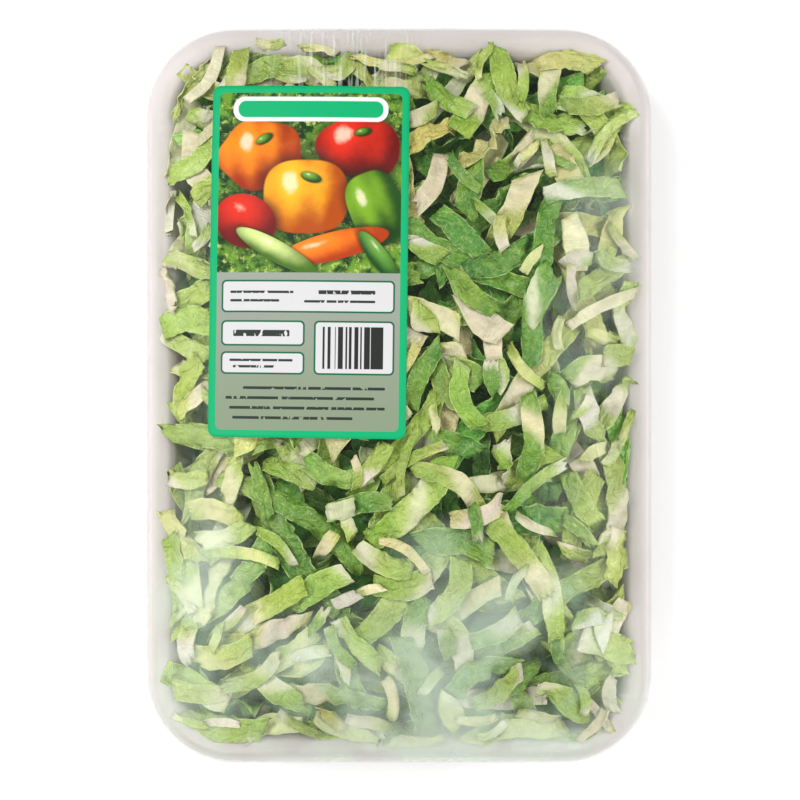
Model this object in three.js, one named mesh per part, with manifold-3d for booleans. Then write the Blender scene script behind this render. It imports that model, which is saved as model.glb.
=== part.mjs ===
// A packed tray of shredded chicory: a foam tray, a heap of cross-cut leaf strips in three
// tangled nets over a core, a clear stretch film round all of it, and a sticker on the film.
// Millimetres, +Z up. The origin is under the middle of the package, on the surface that it
// stands on. The tray's long side runs along Y.
import * as THREE from "three";
import { mergeVertices } from "three/addons/utils/BufferGeometryUtils.js";
import Module from "manifold-3d";

// Driving dimensions
const TRAY = {
  halfX: 72,
  halfY: 105,
  radius: 25,
  foot: 0.9,
  rim: 27,
};
const FILM = {
  thickness: 0.5,
  clearance: 0.45,
  rise: 21,
  flatness: 3,
  shoulder: 5,
  slotInset: 64,
};
const LABEL = {
  halfX: 28,
  halfY: 50,
  radius: 3,
  centreX: -25.5,
  centreY: 38,
  turn: -0.012,
  thickness: 0.35,
  gap: 0.6,
};
const CORE = {
  halfX: 57,
  halfY: 90,
  radius: 38,
  depth: 18,
  rounding: 6,
  roundingDrop: 2.5,
  floorGap: 0.4,
};
const STRIP = {
  stationsShort: 4,
  stationsLong: 5,
  shortBelow: 36,
  lengthMin: 24,
  lengthMax: 60,
  widthMin: 7.4,
  widthMax: 11,
  thickness: 0.8,
  bend: 1,
  arch: 6,
  roll: 1.05,
  twist: 0.7,
  tiltMax: 1.1,
  endTaper: 0.86,
  endSlant: 0.7,
  edgeInset: 3,
  slopeMax: 0.85,
  gap: 0.5,
  sink: 0.9,
  coreSink: 1.6,
};

const CORNER_STEPS = 5;
const SIDE_STEPS = 5;

// Repeatable random numbers from 0 to 1.
function makeRandom(seed) {
  let state = seed;
  return () => {
    state = (state * 1664525 + 1013904223) % 4294967296;
    return state / 4294967296;
  };
}

const clamp = (value, low, high) => Math.min(high, Math.max(low, value));
const mix = (a, b, share) => a + (b - a) * share;

// The points of a rounded rectangle, counterclockwise, the same count whatever its size.
function roundedRing(halfX, halfY, radius, height, cornerSteps = CORNER_STEPS) {
  const r = Math.min(radius, halfX, halfY);
  const points = [];
  const corners = [
    [halfX - r, halfY - r, 0],
    [r - halfX, halfY - r, 1],
    [r - halfX, r - halfY, 2],
    [halfX - r, r - halfY, 3],
  ];
  corners.forEach(([cx, cy, quarter], index) => {
    for (let k = 0; k <= cornerSteps; k++) {
      const angle = (Math.PI / 2) * (quarter + k / cornerSteps);
      points.push(new THREE.Vector3(cx + r * Math.cos(angle), cy + r * Math.sin(angle), height));
    }
    const [nx, ny] = corners[(index + 1) % 4];
    const angle = (Math.PI / 2) * (quarter + 1);
    const from = points[points.length - 1];
    const to = new THREE.Vector3(nx + r * Math.cos(angle), ny + r * Math.sin(angle), height);
    for (let k = 1; k < SIDE_STEPS; k++) {
      points.push(from.clone().lerp(to, k / SIDE_STEPS));
    }
  });
  return points;
}

// The tray's outline drawn in by inset.
function trayRing(inset, height) {
  const radius = Math.max(TRAY.radius - inset, Math.min(6, TRAY.halfX - inset));
  return roundedRing(TRAY.halfX - inset, TRAY.halfY - inset, radius, height);
}

// A closed surface through rings of equal count, from a first pole to a last pole.
function loft(firstPole, rings, lastPole) {
  const count = rings[0].length;
  const position = [firstPole, ...rings.flat(), lastPole].flatMap((p) => [p.x, p.y, p.z]);
  const last = position.length / 3 - 1;
  const index = [];
  const at = (ring, k) => 1 + ring * count + (k % count);
  for (let k = 0; k < count; k++) {
    index.push(0, at(0, k + 1), at(0, k));
    index.push(last, at(rings.length - 1, k), at(rings.length - 1, k + 1));
    for (let ring = 0; ring + 1 < rings.length; ring++) {
      index.push(at(ring, k), at(ring, k + 1), at(ring + 1, k + 1));
      index.push(at(ring, k), at(ring + 1, k + 1), at(ring + 1, k));
    }
  }
  const geometry = new THREE.BufferGeometry();
  geometry.setAttribute("position", new THREE.Float32BufferAttribute(position, 3));
  geometry.setIndex(index);
  return geometry;
}

// How far a point is inside the rounded rectangle. It is negative outside.
function insetOf(x, y, halfX, halfY, radius) {
  const qx = Math.abs(x) - (halfX - radius);
  const qy = Math.abs(y) - (halfY - radius);
  const outside = Math.hypot(Math.max(qx, 0), Math.max(qy, 0));
  return radius - outside - Math.min(Math.max(qx, qy), 0);
}

const trayInset = (x, y) => insetOf(x, y, TRAY.halfX, TRAY.halfY, TRAY.radius);

// Tray: a profile of [inset, height] from the middle of the underside, out round the foot,
// up the wall, over the rolled lip and down to the inner floor.
const TRAY_UNDERSIDE = [
  [24, TRAY.foot + 1.2],
  [21, TRAY.foot],
  [17, TRAY.foot],
  [13.4, TRAY.foot + 1.8],
  [5.8, 21],
  [2.2, 23],
  [0.3, 23.8],
  [0, 25],
];
const TRAY_INSIDE = [
  [1.2, 26.6],
  [4, TRAY.rim],
  [6.8, 26.2],
  [9.3, 22.5],
  [16.4, 5.6],
  [20, 4.2],
];

function trayGeometry() {
  const rings = [...TRAY_UNDERSIDE, ...TRAY_INSIDE].map(([inset, z]) => trayRing(inset, z));
  const underside = new THREE.Vector3(0, 0, TRAY_UNDERSIDE[0][1]);
  const floor = new THREE.Vector3(0, 0, TRAY_INSIDE[TRAY_INSIDE.length - 1][1]);
  return loft(underside, rings, floor);
}

// The height of the tray's upper surface.
function trayTop(x, y) {
  const inset = trayInset(x, y);
  const profile = [TRAY_UNDERSIDE[TRAY_UNDERSIDE.length - 1], ...TRAY_INSIDE];
  for (let k = 1; k < profile.length; k++) {
    const [d0, z0] = profile[k - 1];
    const [d1, z1] = profile[k];
    if (inset < d1) return mix(z0, z1, clamp((inset - d0) / (d1 - d0), 0, 1));
  }
  return profile[profile.length - 1][1];
}

// The height of the film's inner surface: a taut dome from the lip over the heap.
function filmUnder(x, y) {
  const bow = (u) => 1 - Math.min(1, Math.abs(u)) ** FILM.flatness;
  const near = clamp(trayInset(x, y) / FILM.shoulder, 0, 1);
  const edge = 1 - (1 - near) ** 2;
  const lift = bow(x / TRAY.halfX) * bow(y / TRAY.halfY) * edge;
  return TRAY.rim + FILM.clearance + FILM.rise * lift;
}

// Film: from the inner pole out over the dome, round the lip, down to the foot and in under
// the base as far as the slot where its two edges meet, then back along the outer surface.
const FILM_SCALES = [0.13, 0.26, 0.39, 0.51, 0.62, 0.72, 0.81, 0.885, 0.94, 0.975];

function filmGeometry() {
  const skin = FILM.thickness;
  const gap = FILM.clearance;
  const outline = trayRing(0, 0);
  const dome = (raise) =>
    FILM_SCALES.map((scale) =>
      outline.map((p) => {
        const x = p.x * scale;
        const y = p.y * scale;
        return new THREE.Vector3(x, y, filmUnder(x, y) + raise);
      }),
    );
  // Each entry is [inset, height] of the inner surface, then of the outer one.
  const wrap = [
    [0, 26.6, -skin * 0.7, 27.1],
    [-gap, 25.2, -gap - skin, 25.3],
    [-gap, 23.7, -gap - skin, 23.6],
    [11.8, 2.2, 11.3, 1.8],
    [16, skin, 15.7, 0],
    [26, skin, 26, 0],
    [40, skin, 40, 0],
    [FILM.slotInset, skin, FILM.slotInset, 0],
  ];
  const inner = wrap.map(([inset, z]) => trayRing(inset, z));
  const outer = wrap.map(([, , inset, z]) => trayRing(inset, z));
  const rings = [...dome(0), ...inner, ...outer.reverse(), ...dome(skin).reverse()];
  const top = filmUnder(0, 0);
  return loft(new THREE.Vector3(0, 0, top), rings, new THREE.Vector3(0, 0, top + skin));
}

// Label: a sticker with rounded corners that follows the film.
function labelGeometry() {
  const outline = roundedRing(LABEL.halfX, LABEL.halfY, LABEL.radius, 0, 2);
  const place = (p, scale, raise) => {
    const turned = p.clone().multiplyScalar(scale);
    turned.applyAxisAngle(new THREE.Vector3(0, 0, 1), LABEL.turn);
    const x = turned.x + LABEL.centreX;
    const y = turned.y + LABEL.centreY;
    return new THREE.Vector3(x, y, filmUnder(x, y) + FILM.thickness + LABEL.gap + raise);
  };
  const scales = [0.25, 0.5, 0.75, 1];
  const sheet = (raise) => scales.map((scale) => outline.map((p) => place(p, scale, raise)));
  const pole = (raise) => place(new THREE.Vector3(), 1, raise);
  const rings = [...sheet(0), ...sheet(LABEL.thickness).reverse()];
  return loft(pole(0), rings, pole(LABEL.thickness));
}

// The core of the heap: a low lump that the strips stand out of.
const coreEdge = (x, y) => insetOf(x, y, CORE.halfX, CORE.halfY, CORE.radius);

function coreTop(x, y) {
  const rounded = clamp(coreEdge(x, y) / CORE.rounding, 0, 1);
  return filmUnder(x, y) - CORE.depth - CORE.roundingDrop * (1 - rounded) ** 2;
}

function coreGeometry() {
  const floor = TRAY_INSIDE[TRAY_INSIDE.length - 1][1] + CORE.floorGap;
  const ring = (shrink, z) =>
    roundedRing(CORE.halfX - shrink, CORE.halfY - shrink, CORE.radius - shrink, z);
  const sides = [ring(10, floor), ring(5.5, floor + 2.2)];
  const outline = ring(0, 0);
  const scales = [1, 0.93, 0.82, 0.66, 0.46, 0.24];
  const dome = scales.map((scale) =>
    outline.map((p) => {
      const x = p.x * scale;
      const y = p.y * scale;
      return new THREE.Vector3(x, y, coreTop(x, y));
    }),
  );
  return loft(
    new THREE.Vector3(0, 0, floor),
    [...sides, ...dome],
    new THREE.Vector3(0, 0, coreTop(0, 0)),
  );
}

// Cells over the tray. A map holds a height for each, and strips are laid on such maps.
const CELL = 1.2;
const CELLS_X = 2 * Math.ceil(TRAY.halfX / CELL) + 1;
const CELLS_Y = 2 * Math.ceil(TRAY.halfY / CELL) + 1;
const cellOf = (x, y) => {
  const column = clamp(Math.round(x / CELL) + (CELLS_X - 1) / 2, 0, CELLS_X - 1);
  const row = clamp(Math.round(y / CELL) + (CELLS_Y - 1) / 2, 0, CELLS_Y - 1);
  return row * CELLS_X + column;
};

// Coarser patches over the tray, on which each net counts its strips.
const PATCH = 14;
const PATCHES_X = 2 * Math.ceil(TRAY.halfX / PATCH) + 1;
const PATCHES_Y = 2 * Math.ceil(TRAY.halfY / PATCH) + 1;
const patchOf = (x, y) => {
  const column = Math.round(x / PATCH) + (PATCHES_X - 1) / 2;
  const row = Math.round(y / PATCH) + (PATCHES_Y - 1) / 2;
  return row * PATCHES_X + column;
};

// A new map of the heights that a function gives.
function heightMap(heightAt) {
  const map = new Float64Array(CELLS_X * CELLS_Y);
  for (let row = 0; row < CELLS_Y; row++) {
    for (let column = 0; column < CELLS_X; column++) {
      const x = (column - (CELLS_X - 1) / 2) * CELL;
      const y = (row - (CELLS_Y - 1) / 2) * CELL;
      map[row * CELLS_X + column] = heightAt(x, y);
    }
  }
  return map;
}

const EMPTY = -1e3;
const FILM_MAP = heightMap(filmUnder);

// A strip's plan: stations along a bent line through the anchor, each with the half-width
// vector of the strip there, which leans by the strip's roll and twist.
function drawStrip(random, anchor) {
  const length = mix(STRIP.lengthMin, STRIP.lengthMax, random() ** 1.5);
  const width = mix(STRIP.widthMin, STRIP.widthMax, random());
  const yaw = 2 * Math.PI * random();
  const bend = STRIP.bend * mix(-1, 1, random());
  const held = mix(0.12, 0.88, random());
  const arch = STRIP.arch * random() ** 2;
  const lean = mix(-1, 1, random());
  const roll = STRIP.roll * lean * Math.abs(lean);
  const twist = STRIP.twist * mix(-1, 1, random());
  const firstSlant = STRIP.endSlant * mix(-1, 1, random());
  const lastSlant = STRIP.endSlant * mix(-1, 1, random());

  const last = (length < STRIP.shortBelow ? STRIP.stationsShort : STRIP.stationsLong) - 1;
  const step = length / last;
  const heading = (share) => yaw + bend * (share - 0.5);
  const points = [new THREE.Vector2(0, 0)];
  for (let k = 0; k < last; k++) {
    const angle = heading((k + 0.5) / last);
    const stride = new THREE.Vector2(Math.cos(angle), Math.sin(angle)).multiplyScalar(step);
    points.push(stride.add(points[k]));
  }
  const segment = Math.floor(held * last);
  const shift = points[segment].clone().lerp(points[segment + 1], held * last - segment);
  const stations = points.map((p, k) => {
    const share = k / last;
    const angle = heading(share);
    const tilt = clamp(roll + twist * (2 * share - 1), -STRIP.tiltMax, STRIP.tiltMax);
    const slant = k === 0 ? firstSlant : k === last ? lastSlant : 0;
    const reach = (width / 2) * (k === 0 || k === last ? STRIP.endTaper : 1);
    const along = slant * reach;
    return {
      x: p.x - shift.x + anchor.x,
      y: p.y - shift.y + anchor.y,
      z: arch * Math.sin(Math.PI * share),
      ex: -Math.sin(angle) * Math.cos(tilt) * reach + Math.cos(angle) * along,
      ey: Math.cos(angle) * Math.cos(tilt) * reach + Math.sin(angle) * along,
      ez: Math.sin(tilt) * reach,
      half: STRIP.thickness / 2 / Math.cos(tilt),
    };
  });
  return { stations, step, anchor };
}

// The strip's surface at a share along it and across it from -1 to 1.
function stripPoint(strip, share, across) {
  const last = strip.stations.length - 1;
  const segment = Math.min(last - 1, Math.floor(share * last));
  const f = share * last - segment;
  const a = strip.stations[segment];
  const b = strip.stations[segment + 1];
  return {
    x: mix(a.x + across * a.ex, b.x + across * b.ex, f),
    y: mix(a.y + across * a.ey, b.y + across * b.ey, f),
    lift: across * mix(a.ez, b.ez, f),
    half: mix(a.half, b.half, f),
    z: mix(a.z, b.z, f),
  };
}

const SAMPLES_ALONG = 24;
const SAMPLES_ACROSS = [-1, -0.5, 0, 0.5, 1];

// Reads the heap under a strip. Each row across the strip gets the height that its middle
// needs to clear what is below, and the highest that the film allows. Returns null where
// the strip leaves the tray.
function probeHeap(strip, net, heap) {
  const rows = [];
  for (let j = 0; j <= SAMPLES_ALONG; j++) {
    const row = { share: j / SAMPLES_ALONG, need: EMPTY, cap: -EMPTY, points: [] };
    for (const across of SAMPLES_ACROSS) {
      const p = stripPoint(strip, row.share, across);
      if (trayInset(p.x, p.y) < STRIP.edgeInset) return null;
      const cell = cellOf(p.x, p.y);
      const own = net.map[cell];
      let others = EMPTY;
      for (const map of heap) {
        if (map !== net.map) others = Math.max(others, map[cell]);
      }
      const fromAnchor = Math.hypot(p.x - strip.anchor.x, p.y - strip.anchor.y);
      const onOwn = own + (fromAnchor < net.rootReach ? -STRIP.sink : STRIP.gap);
      row.need = Math.max(row.need, Math.max(others + STRIP.gap, onOwn) - p.lift + p.half);
      row.cap = Math.min(row.cap, FILM_MAP[cell] - FILM.clearance - p.lift - p.half);
      row.points.push({
        own,
        patch: patchOf(p.x, p.y),
        underside: p.lift - p.half,
        hollow: FILM_MAP[cell] - Math.max(others, own),
      });
    }
    rows.push(row);
  }
  return rows;
}

const SAG_ROUNDS = 4;
const SAG_SHARE = 0.7;
const SAG_MOST = 30;
const LEAST_WEIGHT = 0.04;

// Lowers a strip until it lies on what its rows need, then lets its stations sag.
function settleStrip(strip, rows) {
  const { stations, step } = strip;
  const last = stations.length - 1;
  const clearance = (row) => stripPoint(strip, row.share, 0).z - row.need;
  const lift = Math.max(...rows.map((row) => -clearance(row)));
  stations.forEach((s) => (s.z += lift));
  for (let round = 0; round < SAG_ROUNDS; round++) {
    for (const k of [0, last, 1, last - 1, 2]) {
      let drop = SAG_MOST;
      for (const row of rows) {
        const weight = 1 - Math.abs(row.share * last - k);
        if (weight > LEAST_WEIGHT) drop = Math.min(drop, clearance(row) / weight);
      }
      for (const next of [k - 1, k + 1]) {
        if (next < 0 || next > last) continue;
        drop = Math.min(drop, STRIP.slopeMax * step + stations[k].z - stations[next].z);
      }
      stations[k].z -= SAG_SHARE * Math.max(0, drop);
    }
  }
}

const HOLLOW_MOST = 9;
const OVERLAP_LEAST = 0.35;
const OVERLAP_MOST = 1.35;
const TOUCHING_LEAST = 4;

// Lays a strip on the heap. Returns null unless it fits under the film and touches its own
// net, and otherwise how much hollow it fills where the net is still thin.
function layStrip(strip, net, heap) {
  const rows = probeHeap(strip, net, heap);
  if (!rows) return null;
  settleStrip(strip, rows);
  let touching = 0;
  let worth = 0;
  for (const row of rows) {
    const { z } = stripPoint(strip, row.share, 0);
    if (z > row.cap) return null;
    for (const p of row.points) {
      const overlap = p.own - (z + p.underside);
      if (overlap > OVERLAP_LEAST && overlap < OVERLAP_MOST) touching++;
      worth += Math.min(p.hollow, HOLLOW_MOST) / (1 + net.cover[p.patch]);
    }
  }
  return touching >= TOUCHING_LEAST || !net.strips.length ? worth : null;
}

const STAMPS_ALONG = 60;
const STAMPS_ACROSS = 12;

// Raises the net's map to the strip's upper face and counts the strip on its patches.
function stampStrip(strip, net) {
  const patches = new Set();
  for (let j = 0; j <= STAMPS_ALONG; j++) {
    for (let i = 0; i <= STAMPS_ACROSS; i++) {
      const p = stripPoint(strip, j / STAMPS_ALONG, (2 * i) / STAMPS_ACROSS - 1);
      const cell = cellOf(p.x, p.y);
      net.map[cell] = Math.max(net.map[cell], p.z + p.lift + p.half);
      patches.add(patchOf(p.x, p.y));
    }
  }
  patches.forEach((patch) => net.cover[patch]++);
}

// One strip as a thin closed ribbon. Both faces are split along the same diagonals.
function stripGeometry(strip) {
  const { stations } = strip;
  const position = [];
  stations.forEach((s, k) => {
    const before = stations[Math.max(0, k - 1)];
    const after = stations[Math.min(stations.length - 1, k + 1)];
    const tangent = new THREE.Vector3(after.x - before.x, after.y - before.y, after.z - before.z);
    const edge = new THREE.Vector3(s.ex, s.ey, s.ez);
    const normal = tangent.cross(edge).normalize().multiplyScalar(STRIP.thickness / 2);
    for (const side of [1, -1]) {
      for (const face of [1, -1]) {
        position.push(s.x + side * s.ex + face * normal.x);
        position.push(s.y + side * s.ey + face * normal.y);
        position.push(s.z + side * s.ez + face * normal.z);
      }
    }
  });
  // At each station: 0 left top, 1 left bottom, 2 right top, 3 right bottom.
  const index = [];
  const quad = (a, b, c, d) => index.push(a, b, c, a, c, d);
  for (let k = 0; k + 1 < stations.length; k++) {
    const o = 4 * k;
    const n = o + 4;
    quad(o, o + 2, n + 2, n);
    quad(n + 3, o + 3, o + 1, n + 1);
    quad(o + 1, o, n, n + 1);
    quad(o + 2, o + 3, n + 3, n + 2);
  }
  const end = 4 * (stations.length - 1);
  quad(0, 1, 3, 2);
  quad(end, end + 2, end + 3, end + 1);
  const geometry = new THREE.BufferGeometry();
  geometry.setAttribute("position", new THREE.Float32BufferAttribute(position, 3));
  geometry.setIndex(index);
  return geometry;
}

const wasm = await Module();
wasm.setup();

function toSolid(geometry) {
  const merged = mergeVertices(geometry, 1e-4);
  return new wasm.Manifold(
    new wasm.Mesh({
      numProp: 3,
      vertProperties: merged.attributes.position.array,
      triVerts: new Uint32Array(merged.index.array),
    }),
  );
}

function toGeometry(solid) {
  const mesh = solid.getMesh();
  const position = [];
  for (let k = 0; k < mesh.numVert; k++) {
    position.push(...mesh.vertProperties.subarray(k * mesh.numProp, k * mesh.numProp + 3));
  }
  const geometry = new THREE.BufferGeometry();
  geometry.setAttribute("position", new THREE.Float32BufferAttribute(position, 3));
  geometry.setIndex(new THREE.BufferAttribute(mesh.triVerts, 1));
  return geometry;
}

// Where a new strip is held: anywhere over the core for the rooted net, otherwise on a strip
// that the net already has.
const ANCHOR_INSET = 8;

function drawAnchor(net) {
  const u = net.random();
  const v = net.random();
  const w = net.random();
  if (net.rooted) {
    const x = mix(-1, 1, u) * (TRAY.halfX - ANCHOR_INSET);
    return { x, y: mix(-1, 1, v) * (TRAY.halfY - ANCHOR_INSET) };
  }
  if (!net.strips.length) return { x: 0, y: net.startY };
  return stripPoint(net.strips[Math.floor(u * net.strips.length)], v, mix(-0.5, 0.5, w));
}

// Adds one strip to a net. Of a few that fit, those that fill most hollow come first, so that
// the net spreads evenly. The first that joins its own net and clears all else is kept.
const TRIES = 240;
const CHOICES = 16;
const JOINT_LEAST = 1.5;

function growNet(net, heap, others) {
  const fits = [];
  for (let t = 0; t < TRIES && fits.length < CHOICES; t++) {
    const anchor = drawAnchor(net);
    const strip = drawStrip(net.random, anchor);
    const worth = layStrip(strip, net, heap);
    if (worth !== null) fits.push({ strip, worth });
  }
  fits.sort((a, b) => b.worth - a.worth);
  for (const { strip } of fits) {
    const solid = toSolid(stripGeometry(strip));
    if (others.some((other) => other.intersect(solid).volume() > 0)) continue;
    if (net.body && net.body.intersect(solid).volume() < JOINT_LEAST) continue;
    net.body = net.body ? net.body.add(solid) : solid;
    net.strips.push(strip);
    stampStrip(strip, net);
    return;
  }
}

// The three nets. Each grows a head start of strips, then they take turns.
const TURNS = 20;
const NETS = [
  { name: "shreds_dark", seed: 165, rooted: true, rootReach: 60, headStart: 0, perTurn: 2 },
  { name: "shreds_cream", seed: 309, startY: -70, rootReach: 8, headStart: 8, perTurn: 2 },
  { name: "shreds_green", seed: 157, startY: 10, rootReach: 8, headStart: 8, perTurn: 3 },
];

function onCore(x, y) {
  return coreEdge(x, y) > 0 ? coreTop(x, y) - STRIP.coreSink + STRIP.sink : EMPTY;
}

function growNets(wrapping) {
  for (const net of NETS) {
    net.random = makeRandom(net.seed);
    net.strips = [];
    net.cover = new Float64Array(PATCHES_X * PATCHES_Y);
    net.map = heightMap(net.rooted ? onCore : () => EMPTY);
    net.body = net.rooted ? toSolid(coreGeometry()) : null;
  }
  const heap = [heightMap(trayTop), ...NETS.map((net) => net.map)];
  const grow = (net, times) => {
    const rest = NETS.filter((other) => other !== net && other.body).map((other) => other.body);
    for (let n = 0; n < times; n++) growNet(net, heap, [...wrapping, ...rest]);
  };
  NETS.forEach((net) => grow(net, net.headStart));
  for (let turn = 0; turn < TURNS; turn++) NETS.forEach((net) => grow(net, net.perTurn));
}

const byVolume = (a, b) => b.volume() - a.volume();

function netGeometry(net) {
  const [body] = net.body.decompose().sort(byVolume);
  return toGeometry(body);
}

const matte = (color, roughness) =>
  new THREE.MeshStandardMaterial({ color, roughness, metalness: 0 });

const MATERIALS = {
  tray: matte(0xefedea, 0.7),
  film: new THREE.MeshStandardMaterial({
    color: 0xffffff,
    roughness: 0.08,
    metalness: 0,
    transparent: true,
    opacity: 0.14,
  }),
  label: matte(0x15a05f, 0.4),
  shreds_dark: matte(0x5b7f33, 0.5),
  shreds_cream: matte(0xdde2b4, 0.45),
  shreds_green: matte(0x94b459, 0.45),
};

const part = new THREE.Group();

function place(name, geometry) {
  geometry.computeVertexNormals();
  const mesh = new THREE.Mesh(geometry, MATERIALS[name]);
  mesh.name = name;
  part.add(mesh);
}

place("tray", trayGeometry());
place("film", filmGeometry());
place("label", labelGeometry());
growNets([toSolid(trayGeometry()), toSolid(filmGeometry())]);
NETS.forEach((net) => place(net.name, netGeometry(net)));

export default part;
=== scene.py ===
"""Looks of a wrapped tray of shredded chicory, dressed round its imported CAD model.

The CAD's strips are found again by its own rule and drawn narrower, as crumpled ribbons. Loose
strips fill the gaps between them. The film and the label are then drawn taut over the heap.
Lengths are in millimetres up to make_mesh, which turns them into metres.
"""

import math

import bmesh
import bpy
import numpy as np
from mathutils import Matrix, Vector, kdtree


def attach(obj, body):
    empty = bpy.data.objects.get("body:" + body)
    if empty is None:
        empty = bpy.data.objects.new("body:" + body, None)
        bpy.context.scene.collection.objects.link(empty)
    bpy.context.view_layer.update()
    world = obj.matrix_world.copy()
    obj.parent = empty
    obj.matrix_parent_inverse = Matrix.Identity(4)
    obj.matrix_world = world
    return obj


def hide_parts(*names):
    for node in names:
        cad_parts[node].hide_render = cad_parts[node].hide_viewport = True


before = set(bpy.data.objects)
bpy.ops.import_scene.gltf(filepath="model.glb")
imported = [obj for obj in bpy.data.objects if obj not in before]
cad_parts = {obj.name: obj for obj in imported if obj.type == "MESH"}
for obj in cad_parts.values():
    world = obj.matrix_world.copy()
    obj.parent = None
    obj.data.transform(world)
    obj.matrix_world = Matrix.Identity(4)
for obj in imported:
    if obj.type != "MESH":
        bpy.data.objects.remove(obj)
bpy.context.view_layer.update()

MM = 0.001

# ---- dimensions, in millimetres
TRAY_X, TRAY_Y, TRAY_R = 72.0, 105.0, 25.0
RIM = 27.0
FILM_CLEARANCE, FILM_RISE, FILM_FLATNESS, FILM_SHOULDER = 0.45, 21.0, 3, 5.0
CORE_X, CORE_Y, CORE_R, CORE_DEPTH = 57.0, 90.0, 38.0, 18.0
CORE_ROUNDING, CORE_DROP = 6.0, 2.5
# From the edge inwards: how far in, and how high, the tray's upper surface is.
TRAY_PROFILE = [(0, 25), (1.2, 26.6), (4, RIM), (6.8, 26.2), (9.3, 22.5), (16.4, 5.6), (20, 4.2)]
# How the CAD draws and lays a strip. Pairs are least and most, and angles are in radians. It
# keeps edge from the rim and gap from others, and sinks by sink into its own body, or by
# core_sink into the core.
STRIP = dict(
    short_below=36, length=(24, 60), width=(7.4, 11), thickness=0.8, bend=1.0, arch=6.0, roll=1.05,
    twist=0.7, tilt=1.1, end_taper=0.86, end_slant=0.7, edge=3.0, slope=0.85, gap=0.5, sink=0.9,
    core_sink=1.6,
)
# The heights that stand for nothing below and for nothing above.
EMPTY, OPEN = -1e3, 1e3
# How often a place is looked for, and among how many the best one is chosen.
NET_TRIES, NET_CHOICES, LOOSE_TRIES = 240, 16, 150
# How much narrower the nets' strips are drawn than in the CAD, and how far under its film.
NARROW, FILM_GAP = 0.8, 0.2


def mix(a, b, f):
    return a + (b - a) * f


def rising(value, low, high):
    """0 up to low, 1 from high on, and even in between."""
    return np.clip((value - low) / (high - low), 0, 1)


class Random:
    """Repeatable random numbers, the same ones as in the CAD source."""

    def __init__(self, seed):
        self.state = seed

    def __call__(self, low=0, high=1):
        self.state = (self.state * 1664525 + 1013904223) % 4294967296
        return mix(low, high, self.state / 4294967296)


# ---- the form of tray, film and core
def inset_of(x, y, half_x, half_y, radius):
    """How far a point is inside a rounded rectangle."""
    qx, qy = np.abs(x) - (half_x - radius), np.abs(y) - (half_y - radius)
    outside = np.hypot(np.maximum(qx, 0), np.maximum(qy, 0))
    return radius - outside - np.minimum(np.maximum(qx, qy), 0)


def tray_inset(x, y):
    return inset_of(x, y, TRAY_X, TRAY_Y, TRAY_R)


def tray_top(x, y):
    d, z = zip(*TRAY_PROFILE)
    return np.interp(tray_inset(x, y), d, z)


def film_under(x, y):
    """The taut dome of the CAD film."""
    lift = (1 - np.minimum(1, np.abs(x / TRAY_X)) ** FILM_FLATNESS) * (
        1 - np.minimum(1, np.abs(y / TRAY_Y)) ** FILM_FLATNESS
    )
    near = rising(tray_inset(x, y), 0, FILM_SHOULDER)
    return RIM + FILM_CLEARANCE + FILM_RISE * lift * (1 - (1 - near) ** 2)


def core_top(x, y):
    edge = inset_of(x, y, CORE_X, CORE_Y, CORE_R)
    rounded = rising(edge, 0, CORE_ROUNDING)
    top = film_under(x, y) - CORE_DEPTH - CORE_DROP * (1 - rounded) ** 2
    return np.where(edge > 0, top, EMPTY)


# ---- maps over the tray
CELL = 1.2
COLS = 2 * math.ceil(TRAY_X / CELL) + 1
ROWS = 2 * math.ceil(TRAY_Y / CELL) + 1
PATCH = 14
PATCH_COLS = 2 * math.ceil(TRAY_X / PATCH) + 1
PATCH_ROWS = 2 * math.ceil(TRAY_Y / PATCH) + 1


def cell_of(x, y):
    col = np.clip(np.floor(x / CELL + 0.5).astype(int) + (COLS - 1) // 2, 0, COLS - 1)
    row = np.clip(np.floor(y / CELL + 0.5).astype(int) + (ROWS - 1) // 2, 0, ROWS - 1)
    return row * COLS + col


def patch_of(x, y):
    col = np.floor(x / PATCH + 0.5).astype(int) + (PATCH_COLS - 1) // 2
    row = np.floor(y / PATCH + 0.5).astype(int) + (PATCH_ROWS - 1) // 2
    return row * PATCH_COLS + col


GRID_X, GRID_Y = np.meshgrid(*((np.arange(n) - (n - 1) // 2) * CELL for n in (COLS, ROWS)))


def height_map(height_at):
    return np.asarray(height_at(GRID_X, GRID_Y), float).ravel()


FILM_MAP = height_map(film_under)


# ---- strips, laid by the CAD's rule
ALONG = np.arange(25) / 24
ACROSS = np.array([-1, -0.5, 0, 0.5, 1])
STAMP_ALONG = np.arange(61) / 60
STAMP_ACROSS = 2 * np.arange(13) / 12 - 1


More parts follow.
